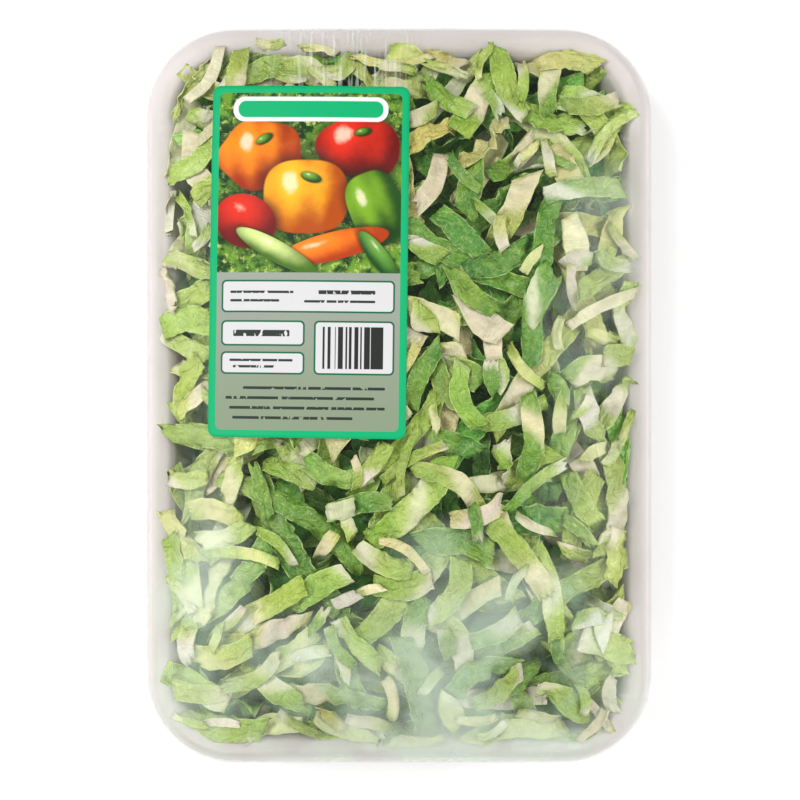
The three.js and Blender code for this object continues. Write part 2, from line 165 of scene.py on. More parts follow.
def draw_strip(random, anchor, spec=STRIP):
    """A strip's stations along a bent line through the anchor, with its half-width vectors."""
    length = mix(*spec["length"], random() ** 1.5)
    width, yaw = random(*spec["width"]), random(0, 2 * math.pi)
    bend, held = spec["bend"] * random(-1, 1), random(0.12, 0.88)
    arch, lean = spec["arch"] * random() ** 2, random(-1, 1)
    roll, twist = spec["roll"] * lean * abs(lean), spec["twist"] * random(-1, 1)
    slants = spec["end_slant"] * np.array([random(-1, 1), random(-1, 1)])
    last = 3 if length < spec["short_below"] else 4
    step = length / last
    a = yaw + bend * ((np.arange(last) + 0.5) / last - 0.5)
    points = np.vstack([[0, 0], np.cumsum(step * np.c_[np.cos(a), np.sin(a)], 0)])
    seg = int(held * last)
    shift = mix(points[seg], points[seg + 1], held * last - seg)
    shares = np.arange(last + 1) / last
    a = yaw + bend * (shares - 0.5)
    tilt = np.clip(roll + twist * (2 * shares - 1), -spec["tilt"], spec["tilt"])
    reach, slant = np.full(last + 1, width / 2), np.zeros(last + 1)
    reach[[0, -1]] *= spec["end_taper"]
    slant[[0, -1]] = slants * reach[[0, -1]]
    c, s, level = np.cos(a), np.sin(a), np.cos(tilt) * reach
    return dict(
        centre=np.c_[points - shift + anchor, arch * np.sin(math.pi * shares)],
        edge=np.c_[c * slant - s * level, s * slant + c * level, np.sin(tilt) * reach],
        half=spec["thickness"] / 2 / np.cos(tilt), step=step, last=last, anchor=anchor,
        length=length, width=width,
    )


def weights_of(last, shares):
    """What each station counts for, at shares of the strip's length."""
    return np.maximum(0, 1 - np.abs(shares[:, None] * last - np.arange(last + 1)))


def spread(strip, weights, across):
    """Points over a strip: plan position, height across, half thickness and middle height."""
    x, y, z = (weights @ strip["centre"]).T
    ex, ey, ez = (weights @ strip["edge"]).T[:, :, None] * across
    return x[:, None] + ex, y[:, None] + ey, ez, (weights @ strip["half"])[:, None], z


WEIGHTS = {last: weights_of(last, ALONG) for last in (3, 4)}
STAMP_WEIGHTS = {last: weights_of(last, STAMP_ALONG) for last in (3, 4)}


def stamped(strip):
    return spread(strip, STAMP_WEIGHTS[strip["last"]], STAMP_ACROSS)


def lay_strip(strip, net, heap, spec=STRIP):
    """Lowers a strip onto the heap. Returns what it is worth to its net, or None if it fails."""
    weights = WEIGHTS[strip["last"]]
    x, y, lift, half, _ = spread(strip, weights, ACROSS)
    if tray_inset(x, y).min() < spec["edge"]:
        return None
    cells = cell_of(x, y)
    own = net["map"][cells]
    others = np.maximum.reduce([m[cells] for m in heap if m is not net["map"]])
    near = np.hypot(x - strip["anchor"][0], y - strip["anchor"][1]) < net["reach"]
    on_own = own + np.where(near, -spec["sink"], spec["gap"])
    need = (np.maximum(others + spec["gap"], on_own) - lift + half).max(1)
    ceiling = spec.get("ceiling", FILM_MAP)
    cap = (ceiling[cells] - FILM_CLEARANCE - lift - half).min(1)
    if (need > cap).any():
        return None
    z, last = strip["centre"][:, 2], strip["last"]
    z += (need - weights @ z).max()
    for k in (0, last, 1, last - 1, 2) * 4:
        on = weights[:, k] > 0.04
        drop = min(30.0, ((weights[on] @ z - need[on]) / weights[on, k]).min())
        for n in (k - 1, k + 1):
            if 0 <= n <= last:
                drop = min(drop, spec["slope"] * strip["step"] + z[k] - z[n])
        z[k] -= 0.7 * max(0.0, drop)
    middle = weights @ z
    if (middle > cap).any():
        return None
    overlap = own - (middle[:, None] + lift - half)
    touching = ((overlap > 0.35) & (overlap < 1.35)).sum()
    hollow = ceiling[cells] - np.maximum(others, own)
    worth = (np.minimum(hollow, 9) / (1 + net["cover"][patch_of(x, y)])).sum()
    return worth if touching >= 4 or not net["strips"] or net.get("free") else None


def stamp_strip(strip, net):
    x, y, lift, half, z = stamped(strip)
    np.maximum.at(net["map"], cell_of(x, y).ravel(), (z[:, None] + lift + half).ravel())
    net["cover"][np.unique(patch_of(x, y))] += 1


def corners(strip):
    """The corner points of the plain ribbon that the CAD makes of a strip."""
    p, e = strip["centre"], strip["edge"]
    n = np.cross(np.vstack([p[1:], p[-1:]]) - np.vstack([p[:1], p[:-1]]), e)
    n *= STRIP["thickness"] / 2 / np.linalg.norm(n, axis=1)[:, None]
    return np.concatenate([p + s * e + f * n for s in (1, -1) for f in (1, -1)])


def tree_of(node):
    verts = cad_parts[node].data.vertices
    tree = kdtree.KDTree(len(verts))
    for v in verts:
        tree.insert(v.co, v.index)
    tree.balance()
    return tree


def is_in(tree, strip):
    found = [tree.find(c * MM)[2] < 2e-5 for c in corners(strip)]
    return sum(found) >= 0.25 * len(found)


def new_net(seed, **facts):
    """A body of strips: its random numbers, its height map and how often each patch is covered."""
    empty, patches = np.full(COLS * ROWS, EMPTY), PATCH_COLS * PATCH_ROWS
    return dict(random=Random(seed), strips=[], map=empty, cover=np.zeros(patches), **facts)


def grow_net(net, heap):
    """One strip more for a net. Of the candidates that fit, the CAD's own is kept."""
    random, fits, tries = net["random"], [], 0
    while tries < NET_TRIES and len(fits) < NET_CHOICES:
        tries += 1
        u, v, w = random(), random(), random()
        if net["rooted"]:
            anchor = (mix(-1, 1, u) * (TRAY_X - 8), mix(-1, 1, v) * (TRAY_Y - 8))
        elif not net["strips"]:
            anchor = (0.0, net["start"])
        else:
            held = net["strips"][int(u * len(net["strips"]))]
            weights = weights_of(held["last"], np.array([v]))
            x, y = spread(held, weights, np.array([mix(-0.5, 0.5, w)]))[:2]
            anchor = (float(x[0, 0]), float(y[0, 0]))
        strip = draw_strip(random, anchor)
        worth = lay_strip(strip, net, heap)
        if worth is not None:
            fits.append((worth, strip))
    for worth, strip in sorted(fits, key=lambda fit: -fit[0]):
        if is_in(net["tree"], strip):
            net["strips"].append(strip)
            stamp_strip(strip, net)
            return


def core_map(lift):
    """The map of the CAD's core, raised by lift."""
    return height_map(lambda x, y: np.where(core_top(x, y) > EMPTY, core_top(x, y) + lift, EMPTY))


def grow_nets():
    """The strips of the CAD's three bodies, and the maps of the tray and of each body."""
    nets = [
        new_net(165, name="shreds_dark", rooted=True, reach=60, head=0, turn=2),
        new_net(309, name="shreds_cream", rooted=False, start=-70.0, reach=8, head=8, turn=2),
        new_net(157, name="shreds_green", rooted=False, start=10.0, reach=8, head=8, turn=3),
    ]
    nets[0]["map"] = core_map(STRIP["sink"] - STRIP["core_sink"])
    heap = [height_map(tray_top)] + [net["map"] for net in nets]
    for net in nets:
        net["tree"] = tree_of(net["name"])
        for _ in range(net["head"]):
            grow_net(net, heap)
    for _ in range(20):
        for net in nets:
            for _ in range(net["turn"]):
                grow_net(net, heap)
    return nets


# ---- loose strips between the nets
THIN = {**STRIP, "thickness": 0.3}
STEEP = {**THIN, "length": (16, 48), "width": (5.5, 8.6), "edge": 2.0, "arch": 7, "roll": 1.35,
         "twist": 1.3, "bend": 1.4, "slope": 1.2, "gap": 0.2, "tilt": 1.25}
LOOSE = {**STEEP, "length": (16, 50), "arch": 3, "roll": 0.8, "twist": 0.8}
RIBS = {**LOOSE, "length": (24, 38), "width": (4.4, 6.6), "bend": 0.25, "arch": 1, "roll": 0.3,
        "twist": 0.25, "thickness": 1.2}
BITS = {**THIN, "length": (8, 26), "width": (2.6, 7.5), "edge": 1.6, "arch": 3, "roll": 0.9,
        "twist": 0.9, "short_below": 99, "bend": 1.3, "slope": 1.2, "gap": 0.15}
BORDER = {**BITS, "length": (10, 32), "arch": 1.5, "edge": 2.2}
DEEP = {**THIN, "length": (12, 44), "width": (5.5, 9), "edge": 4.0, "arch": 2.0, "roll": 0.7,
        "bend": 1.4, "slope": 1.4, "gap": 0.2}


def anywhere(random):
    return random(-1, 1) * (TRAY_X - 4), random(-1, 1) * (TRAY_Y - 4)


def by_the_rim(random):
    """A place near the rim, most often on the right and at the foot, as in the photo."""
    side, along, inset = random(), random(-1, 1), random(2.5, 14)
    if side < 0.4:
        return TRAY_X - inset, along * (TRAY_Y - 8)
    if side < 0.55:
        return inset - TRAY_X, along * (TRAY_Y - 8)
    return along * (TRAY_X - 8), (TRAY_Y - inset) * (1 if side < 0.75 else -1)


def narrow(nets):
    """Narrows the nets' strips to the widths seen in the photo. Returns the heap's maps anew."""
    for net in nets:
        net["map"] = core_map(-1.5) if net["rooted"] else np.full(COLS * ROWS, EMPTY)
        for strip in net["strips"]:
            strip["edge"] *= NARROW
            strip["width"] *= NARROW
            stamp_strip(strip, net)
    return [height_map(tray_top)] + [net["map"] for net in nets]


def loose_strips(heap, spec, count, seed, place=anywhere, choices=6):
    """Strips laid one by one where the heap has the most room for them."""
    net = new_net(seed, free=True, reach=0)
    heap.append(net["map"])
    for _ in range(count):
        fits, tries = [], 0
        while tries < LOOSE_TRIES and len(fits) < choices:
            tries += 1
            strip = draw_strip(net["random"], place(net["random"]), spec)
            worth = lay_strip(strip, net, heap, spec)
            if worth is not None:
                fits.append((worth / (1 + strip["length"] / 40), strip))
        if fits:
            strip = max(fits, key=lambda fit: fit[0])[1]
            net["strips"].append(strip)
            stamp_strip(strip, net)
    return net["strips"]


# ---- mesh and node helpers
def make_mesh(name, verts, faces, material, flat=None, uv=None, points=None):
    """A mesh object from points in millimetres and quads. points holds values per vertex."""
    mesh = bpy.data.meshes.new(name)
    verts = np.asarray(verts, np.float32) * MM
    faces = np.asarray(faces, np.int32)
    mesh.vertices.add(len(verts))
    mesh.vertices.foreach_set("co", verts.ravel())
    mesh.loops.add(faces.size)
    mesh.loops.foreach_set("vertex_index", faces.ravel())
    mesh.polygons.add(len(faces))
    mesh.polygons.foreach_set("loop_start", np.arange(len(faces), dtype=np.int32) * faces.shape[1])
    mesh.update(calc_edges=True)
    mesh.polygons.foreach_set("use_smooth", np.ones(len(faces), bool) if flat is None else ~flat)
    if uv is not None:
        layer = mesh.uv_layers.new(name="UVMap")
        layer.data.foreach_set("uv", np.asarray(uv, np.float32)[faces.ravel()].ravel())
    for key, value in (points or {}).items():
        value = np.asarray(value, np.float32)
        if value.ndim == 2:
            colour = mesh.color_attributes.new(key, "FLOAT_COLOR", "POINT")
            colour.data.foreach_set("color", np.c_[value, np.ones(len(value))].ravel())
        else:
            mesh.attributes.new(key, "FLOAT", "POINT").data.foreach_set("value", value)
    mesh.validate()
    mesh.materials.append(material)
    obj = bpy.data.objects.new(name, mesh)
    bpy.context.scene.collection.objects.link(obj)
    return obj


def grid_quads(n, m):
    """Quads between n rows of m points. They face up where rows follow x and columns y."""
    a = (np.arange(n - 1)[:, None] * m + np.arange(m - 1)).ravel()
    return np.stack([a, a + m, a + m + 1, a + 1], 1)


def double_sheet(n, m):
    """Quads of a closed sheet, n by m points above and as many below, and which are its sides."""
    quads, count = grid_quads(n, m), n * m
    rim = np.r_[np.arange(n) * m, (n - 1) * m + np.arange(1, m),
                np.arange(n - 2, -1, -1) * m + m - 1, np.arange(m - 2, -1, -1)]
    start, end = rim[:-1], rim[1:]
    sides = np.stack([start, start + count, end + count, end], 1)
    faces = np.concatenate([quads, quads[:, ::-1] + count, sides])
    return faces, np.arange(len(faces)) >= 2 * len(quads)


def srgb(r, g, b):
    """A colour given as 0 to 255, as the linear values that shaders take."""
    c = np.array([r, g, b], float) / 255
    return np.where(c <= 0.04045, c / 12.92, ((c + 0.055) / 1.055) ** 2.4)


def rgba(r, g, b):
    return (*srgb(r, g, b), 1.0)


def operator(operation, swapped=False):
    """A method that makes a maths node of a value and of another one or a number."""

    def method(value, other=0.0):
        a, b = (other, value) if swapped else (value, other)
        return value.nodes.math(operation, a, b)

    return method


class Value:
    """A node's output. Sums, products and so on of values make more nodes."""

    __add__, __radd__ = operator("ADD"), operator("ADD")
    __mul__, __rmul__ = operator("MULTIPLY"), operator("MULTIPLY")
    __sub__, __rsub__ = operator("SUBTRACT"), operator("SUBTRACT", swapped=True)
    __truediv__, __abs__ = operator("DIVIDE"), operator("ABSOLUTE")

    def __init__(self, nodes, socket):
        self.nodes, self.socket = nodes, socket

    def output(self, index):
        """Another output of the same node."""
        return Value(self.nodes, self.socket.node.outputs[index])


class Nodes:
    """Builds a material's nodes. An input may be a number, a tuple or another node's value."""

    def __init__(self, name):
        self.material = bpy.data.materials.new(name)
        self.material.use_nodes = True
        self.tree = self.material.node_tree
        self.tree.nodes.clear()
        self.surface = self.tree.nodes.new("ShaderNodeOutputMaterial").inputs["Surface"]

    def add(self, kind, inputs=(), out=0, **props):
        node = self.tree.nodes.new("ShaderNode" + kind)
        for key, value in props.items():
            setattr(node, key, value)
        for key, value in dict(inputs).items():
            if isinstance(value, Value):
                self.tree.links.new(value.socket, node.inputs[key])
            else:
                node.inputs[key].default_value = value
        return Value(self, node.outputs[out])

    def attribute(self, name, out=2):
        """A mesh attribute: its number, or its colour where out is 0."""
        return self.add("Attribute", (), out, attribute_name=name)

    def place(self):
        """Where a point is in its piece, in metres."""
        return self.add("TexCoord", out=3)

    def uv(self):
        """Where a point is on its sheet, in millimetres."""
        return self.add("UVMap", uv_map="UVMap")

    def axes(self, vector):
        first = self.add("SeparateXYZ", {0: vector})
        return [first.output(k) for k in range(3)]

    def math(self, operation, a, b=0.0):
        return self.add("Math", {0: a, 1: b}, operation=operation)

    def vector(self, operation, a, b):
        return self.add("VectorMath", {0: a, 1: b}, operation=operation)

    def length(self, a, b):
        return self.math("SQRT", a * a + b * b)

    def ramp(self, value, low, high, start=0.0, end=1.0):
        """A smooth step from start at low to end at high."""
        inputs = {0: value, 1: low, 2: high, 3: start, 4: end}
        return self.add("MapRange", inputs, interpolation_type="SMOOTHSTEP")

    def fall(self, value, low, high):
        return self.ramp(value, low, high, 1.0, 0.0)

    def mix(self, share, a, b, blend="MIX"):
        return self.add("Mix", {0: share, 6: a, 7: b}, 2, data_type="RGBA", blend_type=blend)

    def noise(self, vector, scale, detail=3.0, rough=0.5, flat=False, out=0):
        inputs = {"Vector": vector, "Scale": scale, "Detail": detail, "Roughness": rough}
        return self.add("TexNoise", inputs, out, noise_dimensions="2D" if flat else "3D")

    def cells(self, vector, scale):
        """How far the nearest border of a net of flat cells is."""
        inputs = {"Vector": vector, "Scale": scale}
        return self.add("TexVoronoi", inputs, voronoi_dimensions="2D", feature="DISTANCE_TO_EDGE")

    def stretch(self, vector, scale):
        return self.add("Mapping", {"Vector": vector, "Scale": scale})

    def bump(self, height, distance, strength):
        return self.add("Bump", {"Height": height, "Distance": distance, "Strength": strength})

    def principled(self, colour, rough, normal, gloss):
        """The finished material of a plain, closed surface."""
        inputs = {"Base Color": colour, "Roughness": rough, "Specular IOR Level": gloss}
        if normal:
            inputs["Normal"] = normal
        return self.finish(self.add("BsdfPrincipled", inputs))

    def finish(self, surface):
        self.tree.links.new(surface.socket, self.surface)
        return self.material


# ---- the leaf strips in full detail
def smooth_noise(x, y, size, seed):
    """Smooth random values from -1 to 1 over the plan, size millimetres apart."""
    u, v = x / size + 50, y / size + 50
    i, j = np.floor(u).astype(int), np.floor(v).astype(int)
    f, g = u - i, v - j
    f, g = f * f * (3 - 2 * f), g * g * (3 - 2 * g)

    def at(a, b):
        h = np.sin(a * 127.1 + b * 311.7 + seed * 74.7) * 43758.5453
        return 2 * (h - np.floor(h)) - 1

    low, high = mix(at(i, j), at(i + 1, j), f), mix(at(i, j + 1), at(i + 1, j + 1), f)
    return mix(low, high, g)


# shade is a painted shade colour: the green given to leaf deep in the heap, chosen so that its
# shaded gaps read green
LEAF = dict(
    deep=srgb(72, 132, 42), mid=srgb(104, 150, 44), light=srgb(158, 186, 72),
    pale=srgb(198, 206, 124), cream=srgb(214, 208, 150), white=srgb(216, 212, 186),
    heart=srgb(206, 198, 104), shade=srgb(102, 190, 60),
)
# A ribbon's columns from edge to edge, the step of its rows, and half its thickness.
U = np.array([-1, -0.9, -0.62, -0.3, 0, 0.3, 0.62, 0.9, 1])
ROW_STEP = 1.3
HALF_BLADE = 0.11


def smooth_rows(a, passes):
    for _ in range(passes):
        a[1:-1] = (a[:-2] + 2 * a[1:-1] + a[2:]) / 4
    return a


def style_of(kind, random):
    """What part of a leaf a strip was cut from: its colours, its rib and how thick that is."""
    r, greenness = random(), random()
    deep, mid, light, pale, white = (LEAF[k] for k in ("deep", "mid", "light", "pale", "white"))
    style = dict(end=mix(mid, light, greenness), near=mix(light, pale, random()), rib=white)
    style.update(at=random(0.1, 0.9), half=random(0.5, 3.5), fade=random(8, 26))
    style.update(thick=0.0, slant=random(-0.8, 0.8))
    if kind in ("dark", "shade"):
        style.update(end=mix(deep, mid, greenness), near=mix(mid, light, random()))
        if r < 0.75:
            style["at"] = -0.4 if random() < 0.5 else 1.4
    elif kind == "rib":
        style.update(end=mix(light, pale, greenness), near=pale, thick=random(1.0, 2.0))
        style.update(rib=mix(pale, white, random(0.4, 1)), half=random(7, 22))
    elif kind == "cream":
        style.update(end=mix(LEAF["heart"], LEAF["cream"], greenness), near=LEAF["cream"])
        if r < 0.3:
            style.update(end=mix(white, pale, 0.5), thick=random(0.9, 2.0), half=60)
        elif r < 0.7:
            style.update(end=mix(light, pale, greenness), thick=random(0.5, 1.4))
        else:
            style["at"] = -0.1 if random() < 0.5 else 1.1
    elif r < 0.6:
        style["at"] = -0.15 if random() < 0.5 else 1.15
    elif r < 0.66:
        style.update(half=60, thick=random(0.8, 1.6), rib=mix(pale, white, 0.4))
    else:
        style.update(thick=random(0.3, 1.2), rib=mix(pale, white, random()))
    return style


def layer_of(strip):
    """Heights of a strip's middle over the map's cells, one cell wider than the strip."""
    x, y, lift, _, z = stamped(strip)
    layer = np.full(COLS * ROWS, EMPTY, np.float32)
    height = (z[:, None] + lift).ravel()
    for dx, dy in ((0, 0), (CELL, 0), (-CELL, 0), (0, CELL), (0, -CELL)):
        np.maximum.at(layer, cell_of(x + dx, y + dy).ravel(), height)
    return layer


def clearances(x, y, z):
    """How far points may move up and down before they meet half way with what is there."""
    there = LAYERS[:, cell_of(x, y)]
    above = np.where(there > z + 0.1, there, OPEN).min(0)
    below = np.where(there < z - 0.1, there, EMPTY).max(0)
    up = np.minimum((above - z) / 2, film_under(x, y) - FILM_GAP - z) - 0.16
    down = np.minimum((z - below) / 2, z - floor_under(x, y)) - 0.16
    return np.clip(up, 0.02, 9), np.clip(down, 0.02, 9)


def floor_under(x, y):
    """The tray's surface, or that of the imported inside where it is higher."""
    return np.maximum(tray_top(x, y), on_grid(INSIDE, x, y, MAP_AT))


def press(points):
    """Keeps points clear of the film above them and of the tray below."""
    x, y = points[..., 0], points[..., 1]
    z = np.minimum(points[..., 2], film_under(x, y) - FILM_GAP)
    points[..., 2] = np.maximum(z, floor_under(x, y) + 0.15)


def soft_limit(value, up, down):
    room = np.where(value > 0, up, down)
    return room * np.tanh(value / room)


def inside_top(low):
    """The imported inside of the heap, a little under the lowest strips. low: their map."""
    film, inset = film_under(GRID_X, GRID_Y), tray_inset(GRID_X, GRID_Y)
    lumps = 0.9 * smooth_noise(GRID_X, GRID_Y, 9, 11)
    under_film = np.minimum(low.reshape(ROWS, COLS) - 2.2, film - 6.4 + lumps)
    top = np.minimum(under_film, 22 + 1.3 * (inset - 10))
    for _ in range(2):
        top = -spread_max(-top)
    for _ in range(10):
        top = np.minimum(top, neighbour_mean(top) + 0.15)
    return np.maximum(top, 6.0).T


class Ribbon:
    """One strip as a closed, crumpled ribbon: rows of points along it, columns across it.

    s is how far along each point is, u how far across from -1 to 1, and v the same in millimetres.
    """

    def __init__(self, strip, random, kind):
        self.random, self.length, self.width = random, strip["length"], strip["width"]
        rows = int(np.clip(round(self.length / ROW_STEP), 9, 44))
        shares = np.linspace(0, 1, rows)
        weights = weights_of(strip["last"], shares)
        centre = smooth_rows(weights @ strip["centre"], rows // 4)
        edge = smooth_rows(weights @ strip["edge"], rows // 5)
        self.style = style_of(kind, random)
        tangent = np.gradient(centre, axis=0)
        tangent /= np.linalg.norm(tangent, axis=1)[:, None]
        normal = np.cross(tangent, edge)
        normal /= np.linalg.norm(normal, axis=1)[:, None]
        if normal[rows // 2, 2] < 0:
            normal, edge = -normal, -edge
        self.s, self.u = np.meshgrid(shares * self.length, U, indexing="ij")
        self.v = self.u * self.width / 2
        slip, across = self.ends()[..., None], self.edges()[..., None]
        flat = centre[:, None] + edge[:, None] * across + tangent[:, None] * slip
        self.rib, green = self.rib_and_green()
        top, under = self.surfaces(flat, normal[:, None])
        colour = self.colours(flat, green)
        # leaf deep in the heap takes the painted shade colour
        if kind == "shade":
            colour = mix(colour, LEAF["shade"], 0.6)
        uv = np.stack([self.s + 100 * random(), self.v + 100 * random()], -1)
        self.faces, self.sharp = double_sheet(*self.s.shape)
        self.verts = np.concatenate([top, under]).reshape(-1, 3)
        self.leaf_colour = np.concatenate([colour, colour]).reshape(-1, 3)
        self.uv = np.concatenate([uv, uv]).reshape(-1, 2)
        self.rib, self.across = np.tile(self.rib.ravel(), 2), np.tile(self.u.ravel(), 2)

    def ripple(self, low, high, shift=0.0):
        """A sine along the strip. Its length is drawn between low and high."""
        length = self.random(low, high)
        return np.sin(2 * math.pi * (self.s / length + self.random()) + shift)

    def wave(self, amplitude, low, high, shift=0.0):
        return amplitude * self.random(0.35, 1) * self.ripple(low, high, shift)

    def folds(self, least, most, low, high):
        """Creases across the strip, with flat faces between them."""
        size = self.random(least, most)
        x = self.s + self.random(-0.5, 0.5) * self.width * self.u
        x = x / self.random(low, high) + self.random()
        return size * (4 * np.abs(x - np.floor(x + 0.5)) - 1)

    def noise(self, size, seed, along=0, across=0):
        """Smooth noise over the strip, moved along or across by a draw."""
        moved = self.random()
        return smooth_noise(self.s + along * moved, self.v + across * moved, size, seed)

    def ends(self):
        """How far points slip along: the ends are cut across, pointed or toothed."""
        slip = np.zeros_like(self.s)
        for end, sign in ((0, -1), (1, 1)):
            weight = sign * np.clip(1 - np.abs(self.s - end * self.length) / 5, 0, 1)
            teeth = np.array([self.random() for _ in U]) - 0.5
            r, side = self.random(), self.random(-0.6, 0.6)
            slant = min(0.4 * self.width, 2.4) * side * self.u
            if r < 0.86:
                slip += weight * (teeth * 0.35 + slant)
            elif r < 0.88:
                slip -= weight * (0.5 * self.width * np.abs(U - side) - 0.6 + teeth * 0.3)
            else:
                slip += weight * (teeth * 2.4 + slant)
        return slip

    def edges(self):
        """How far across points lie: wavy, nicked edges, and a sway from side to side."""
        waist = 1 + 0.06 * self.ripple(9, 17)
        waist += 0.02 * self.ripple(3, 6, self.u)
        nicks = np.array([[self.random(), self.random()] for _ in self.s]) ** 3 * 0.09
        waist[:, :2] -= nicks[:, :1]
        waist[:, -2:] -= nicks[:, 1:]
        return self.u * waist + 0.10 * self.ripple(14, 26)

    def rib_and_green(self):
        """How near the leaf's rib is, from 0 to 1, and how far the green has come in."""
        style = self.style
        ragged = 1.4 * self.noise(5, 21, across=37)
        slanted = self.s + style["slant"] * self.width * self.u
        from_rib = np.abs(slanted - style["at"] * self.length) - style["half"] + ragged
        rib = np.clip(1 - from_rib / 5, 0, 1)
        return rib * rib * (3 - 2 * rib), np.clip(from_rib / style["fade"], 0, 1) ** 0.7

    def crumples(self):
        """How far points are raised: waves, frilled edges, folds, a cup, and curled ends."""
        u, rib, random = self.u, self.rib, self.random
        rise = self.wave(0.7, 8, 16, 1.2 * u) + self.wave(0.35, 3.5, 6, 2.5 * u)
        rise += u * self.wave(1.1, 7, 14) + u * u * self.wave(1.6, 4, 9, 2 * np.abs(u))
        rise += 0.75 * self.noise(3.2, 41, along=61)
        rise += 0.9 * self.noise(7.0, 42, across=53)
        rise += self.folds(0.4, 1.7, 9, 20) + self.folds(0.2, 0.8, 4.5, 8)
        r = random()
        cup = random(-3.2, 3.2) if r < 0.5 else random(-1, 1)
        section = (np.abs(u) if r < 0.15 else u * u) - 0.4
        rise = rise * (1 - 0.65 * rib) + cup * (1 - 0.5 * rib) * section
        for end in (0, 1):
            curl, reach = random(-0.06, 0.16), random(4, 10)
            near = np.clip(reach - np.abs(self.s - end * self.length), 0, None)
            if random() < 0.65:
                rise += curl * near * near * (1 - 0.6 * rib)
        return rise

    def surfaces(self, flat, normal):
        """The upper and lower points, crumpled as far as the neighbours let them."""
        rise = self.crumples()
        up, down = clearances(flat[..., 0], flat[..., 1], flat[..., 2])
        upright = np.abs(normal[..., 2])
        level = np.maximum(upright, 0.4)
        rise = soft_limit(1.5 * rise + 0.46 * np.minimum(up, 3.6), up / level, down / level)
        middle = flat + normal * rise[..., None]
        thick = 0.5 * self.style["thick"] * self.rib * (1 - 0.6 * np.abs(self.u) ** 4)
        top = middle + normal * (HALF_BLADE + np.minimum(thick, 0.6 * up))[..., None]
        under = middle - normal * (HALF_BLADE + np.minimum(thick, 0.6 * down))[..., None]
        press(top)
        press(under)
        under[..., 2] = np.minimum(under[..., 2], top[..., 2] - 0.2 * upright)
        return top, under

    def colours(self, flat, green):
        """The leaf's green and its rib's white, blotched, with painted light: lighter leaf near
        the rim of the heap, as if its flanks were lit more.
        """
        random, style, x, y = self.random, self.style, flat[..., 0], flat[..., 1]
        green = green + 0.30 * self.noise(9, 31, across=91) + 0.16 * self.noise(3.5, 33, across=17)
        base = mix(style["near"], style["end"], np.clip(green, 0, 1.15)[..., None])
        # painted light: the heap's left, right and lower flanks are made lighter, as if the lamps
        # lit them more
        painted_flank_light = 0.65 * rising(-x, 34, 50) + 0.25 * rising(-y, 45, 75)
        painted_flank_light = np.maximum(painted_flank_light, 0.7 * rising(x, 42, 57))[..., None]
        base = mix(base, mix(LEAF["light"], LEAF["pale"], 0.55), painted_flank_light)
        colour = mix(base, style["rib"], self.rib[..., None])
        tint = [random(0.92, 1.08), random(0.95, 1.04), random(0.8, 1.15)]
        return np.clip(colour * np.array(tint) * random(0.82, 1.04), 0, 1)


def depth_of(strip):
    x, y, z = strip["centre"].T
    return float((film_under(x, y) - z).mean())


def kinds(*levels):
    """A rule for a strip's leaf. levels: down to what depth, and kinds up to a share each."""

    def kind(r, depth):
        choices = next(level[1:] for level in levels if depth <= level[0])
        return next(name for name, share in choices if r < share)

    return kind


def net_kinds(name):
    """A net's own kind near the film, and darker leaf deep down, as painted shade."""
    return kinds((7.5, (name, 1)), (OPEN, ("dark", 0.7), ("shade", 1)))


# Deeper in the heap the leaf is dark green or shade green, as painted shade.
LOWEST = (OPEN, ("shade", 0.5), ("dark", 1))
LOWER = (8, ("dark", 0.5), ("green", 1))
MIXED = kinds((5.5, ("green", 0.62), ("dark", 0.82), ("cream", 1)), LOWER, LOWEST)


def make_strips(name, strips, seed, kind_of, material):
    """All the strips of a group as one object."""
    random = Random(seed)
    ribbons = [Ribbon(strip, random, kind_of(random(), depth_of(strip))) for strip in strips]
    join = lambda key: np.concatenate([getattr(ribbon, key) for ribbon in ribbons])
    starts = np.cumsum([0] + [len(ribbon.verts) for ribbon in ribbons])
    faces = np.concatenate([ribbon.faces + start for ribbon, start in zip(ribbons, starts)])
    points = {key: join(key) for key in ("leaf_colour", "rib", "across")}
    obj = make_mesh(name, join("verts"), faces, material, join("sharp"), join("uv"), points)
    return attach(obj, "root")


# ---- rounded rectangular rings
def ring(inset, corner_steps, short_steps, long_steps):
    """Points round the tray's outline, moved in by inset, from the right side's foot."""
    hx, hy = max(TRAY_X - inset, 0.005), max(TRAY_Y - inset, 0.005)
    r = min(max(TRAY_R - inset, 1.5), hx, hy)
    middles = [np.array([x, y]) for x, y in ((hx - r, hy - r), (r - hx, hy - r), (r - hx, r - hy),
                                             (hx - r, r - hy))]
    points = []
    for quarter, steps in enumerate((short_steps, long_steps) * 2):
        a = math.pi / 2 * (quarter + np.arange(corner_steps + 1)[:, None] / corner_steps)
        arc = middles[quarter] + r * np.hstack([np.cos(a), np.sin(a)])
        side = middles[(quarter + 1) % 4] - middles[quarter]
        points += [arc[:-1], arc[-1] + side * np.arange(steps)[:, None] / steps]
    return np.concatenate(points)


def at_height(xy, z):
    """Points in the plan, each with its height or all with the same one."""
    return np.c_[xy, np.broadcast_to(z, len(xy))]


def ring_faces(rings, around):
    """Quads between neighbouring rings."""
    row, j = np.arange(rings - 1)[:, None] * around, np.arange(around)
    a, b = (row + j).ravel(), (row + (j + 1) % around).ravel()
    return np.stack([a, b, b + around, a + around], 1)


def curve_through(points, per_span):
    """A smooth curve through points, as many points to each span as asked."""
    p = np.asarray(points, float)
    p = np.vstack([2 * p[0] - p[1], p, 2 * p[-1] - p[-2]])
    out = []
    for k in range(1, len(p) - 2):
        for t in np.arange(per_span) / per_span:
            a, b, c, d = p[k - 1 : k + 3]
            out.append(0.5 * (2 * b + (c - a) * t + (2 * a - 5 * b + 4 * c - d) * t * t
                              + (3 * b - a - 3 * c + d) * t ** 3))
    return np.array(out + [p[-2]])


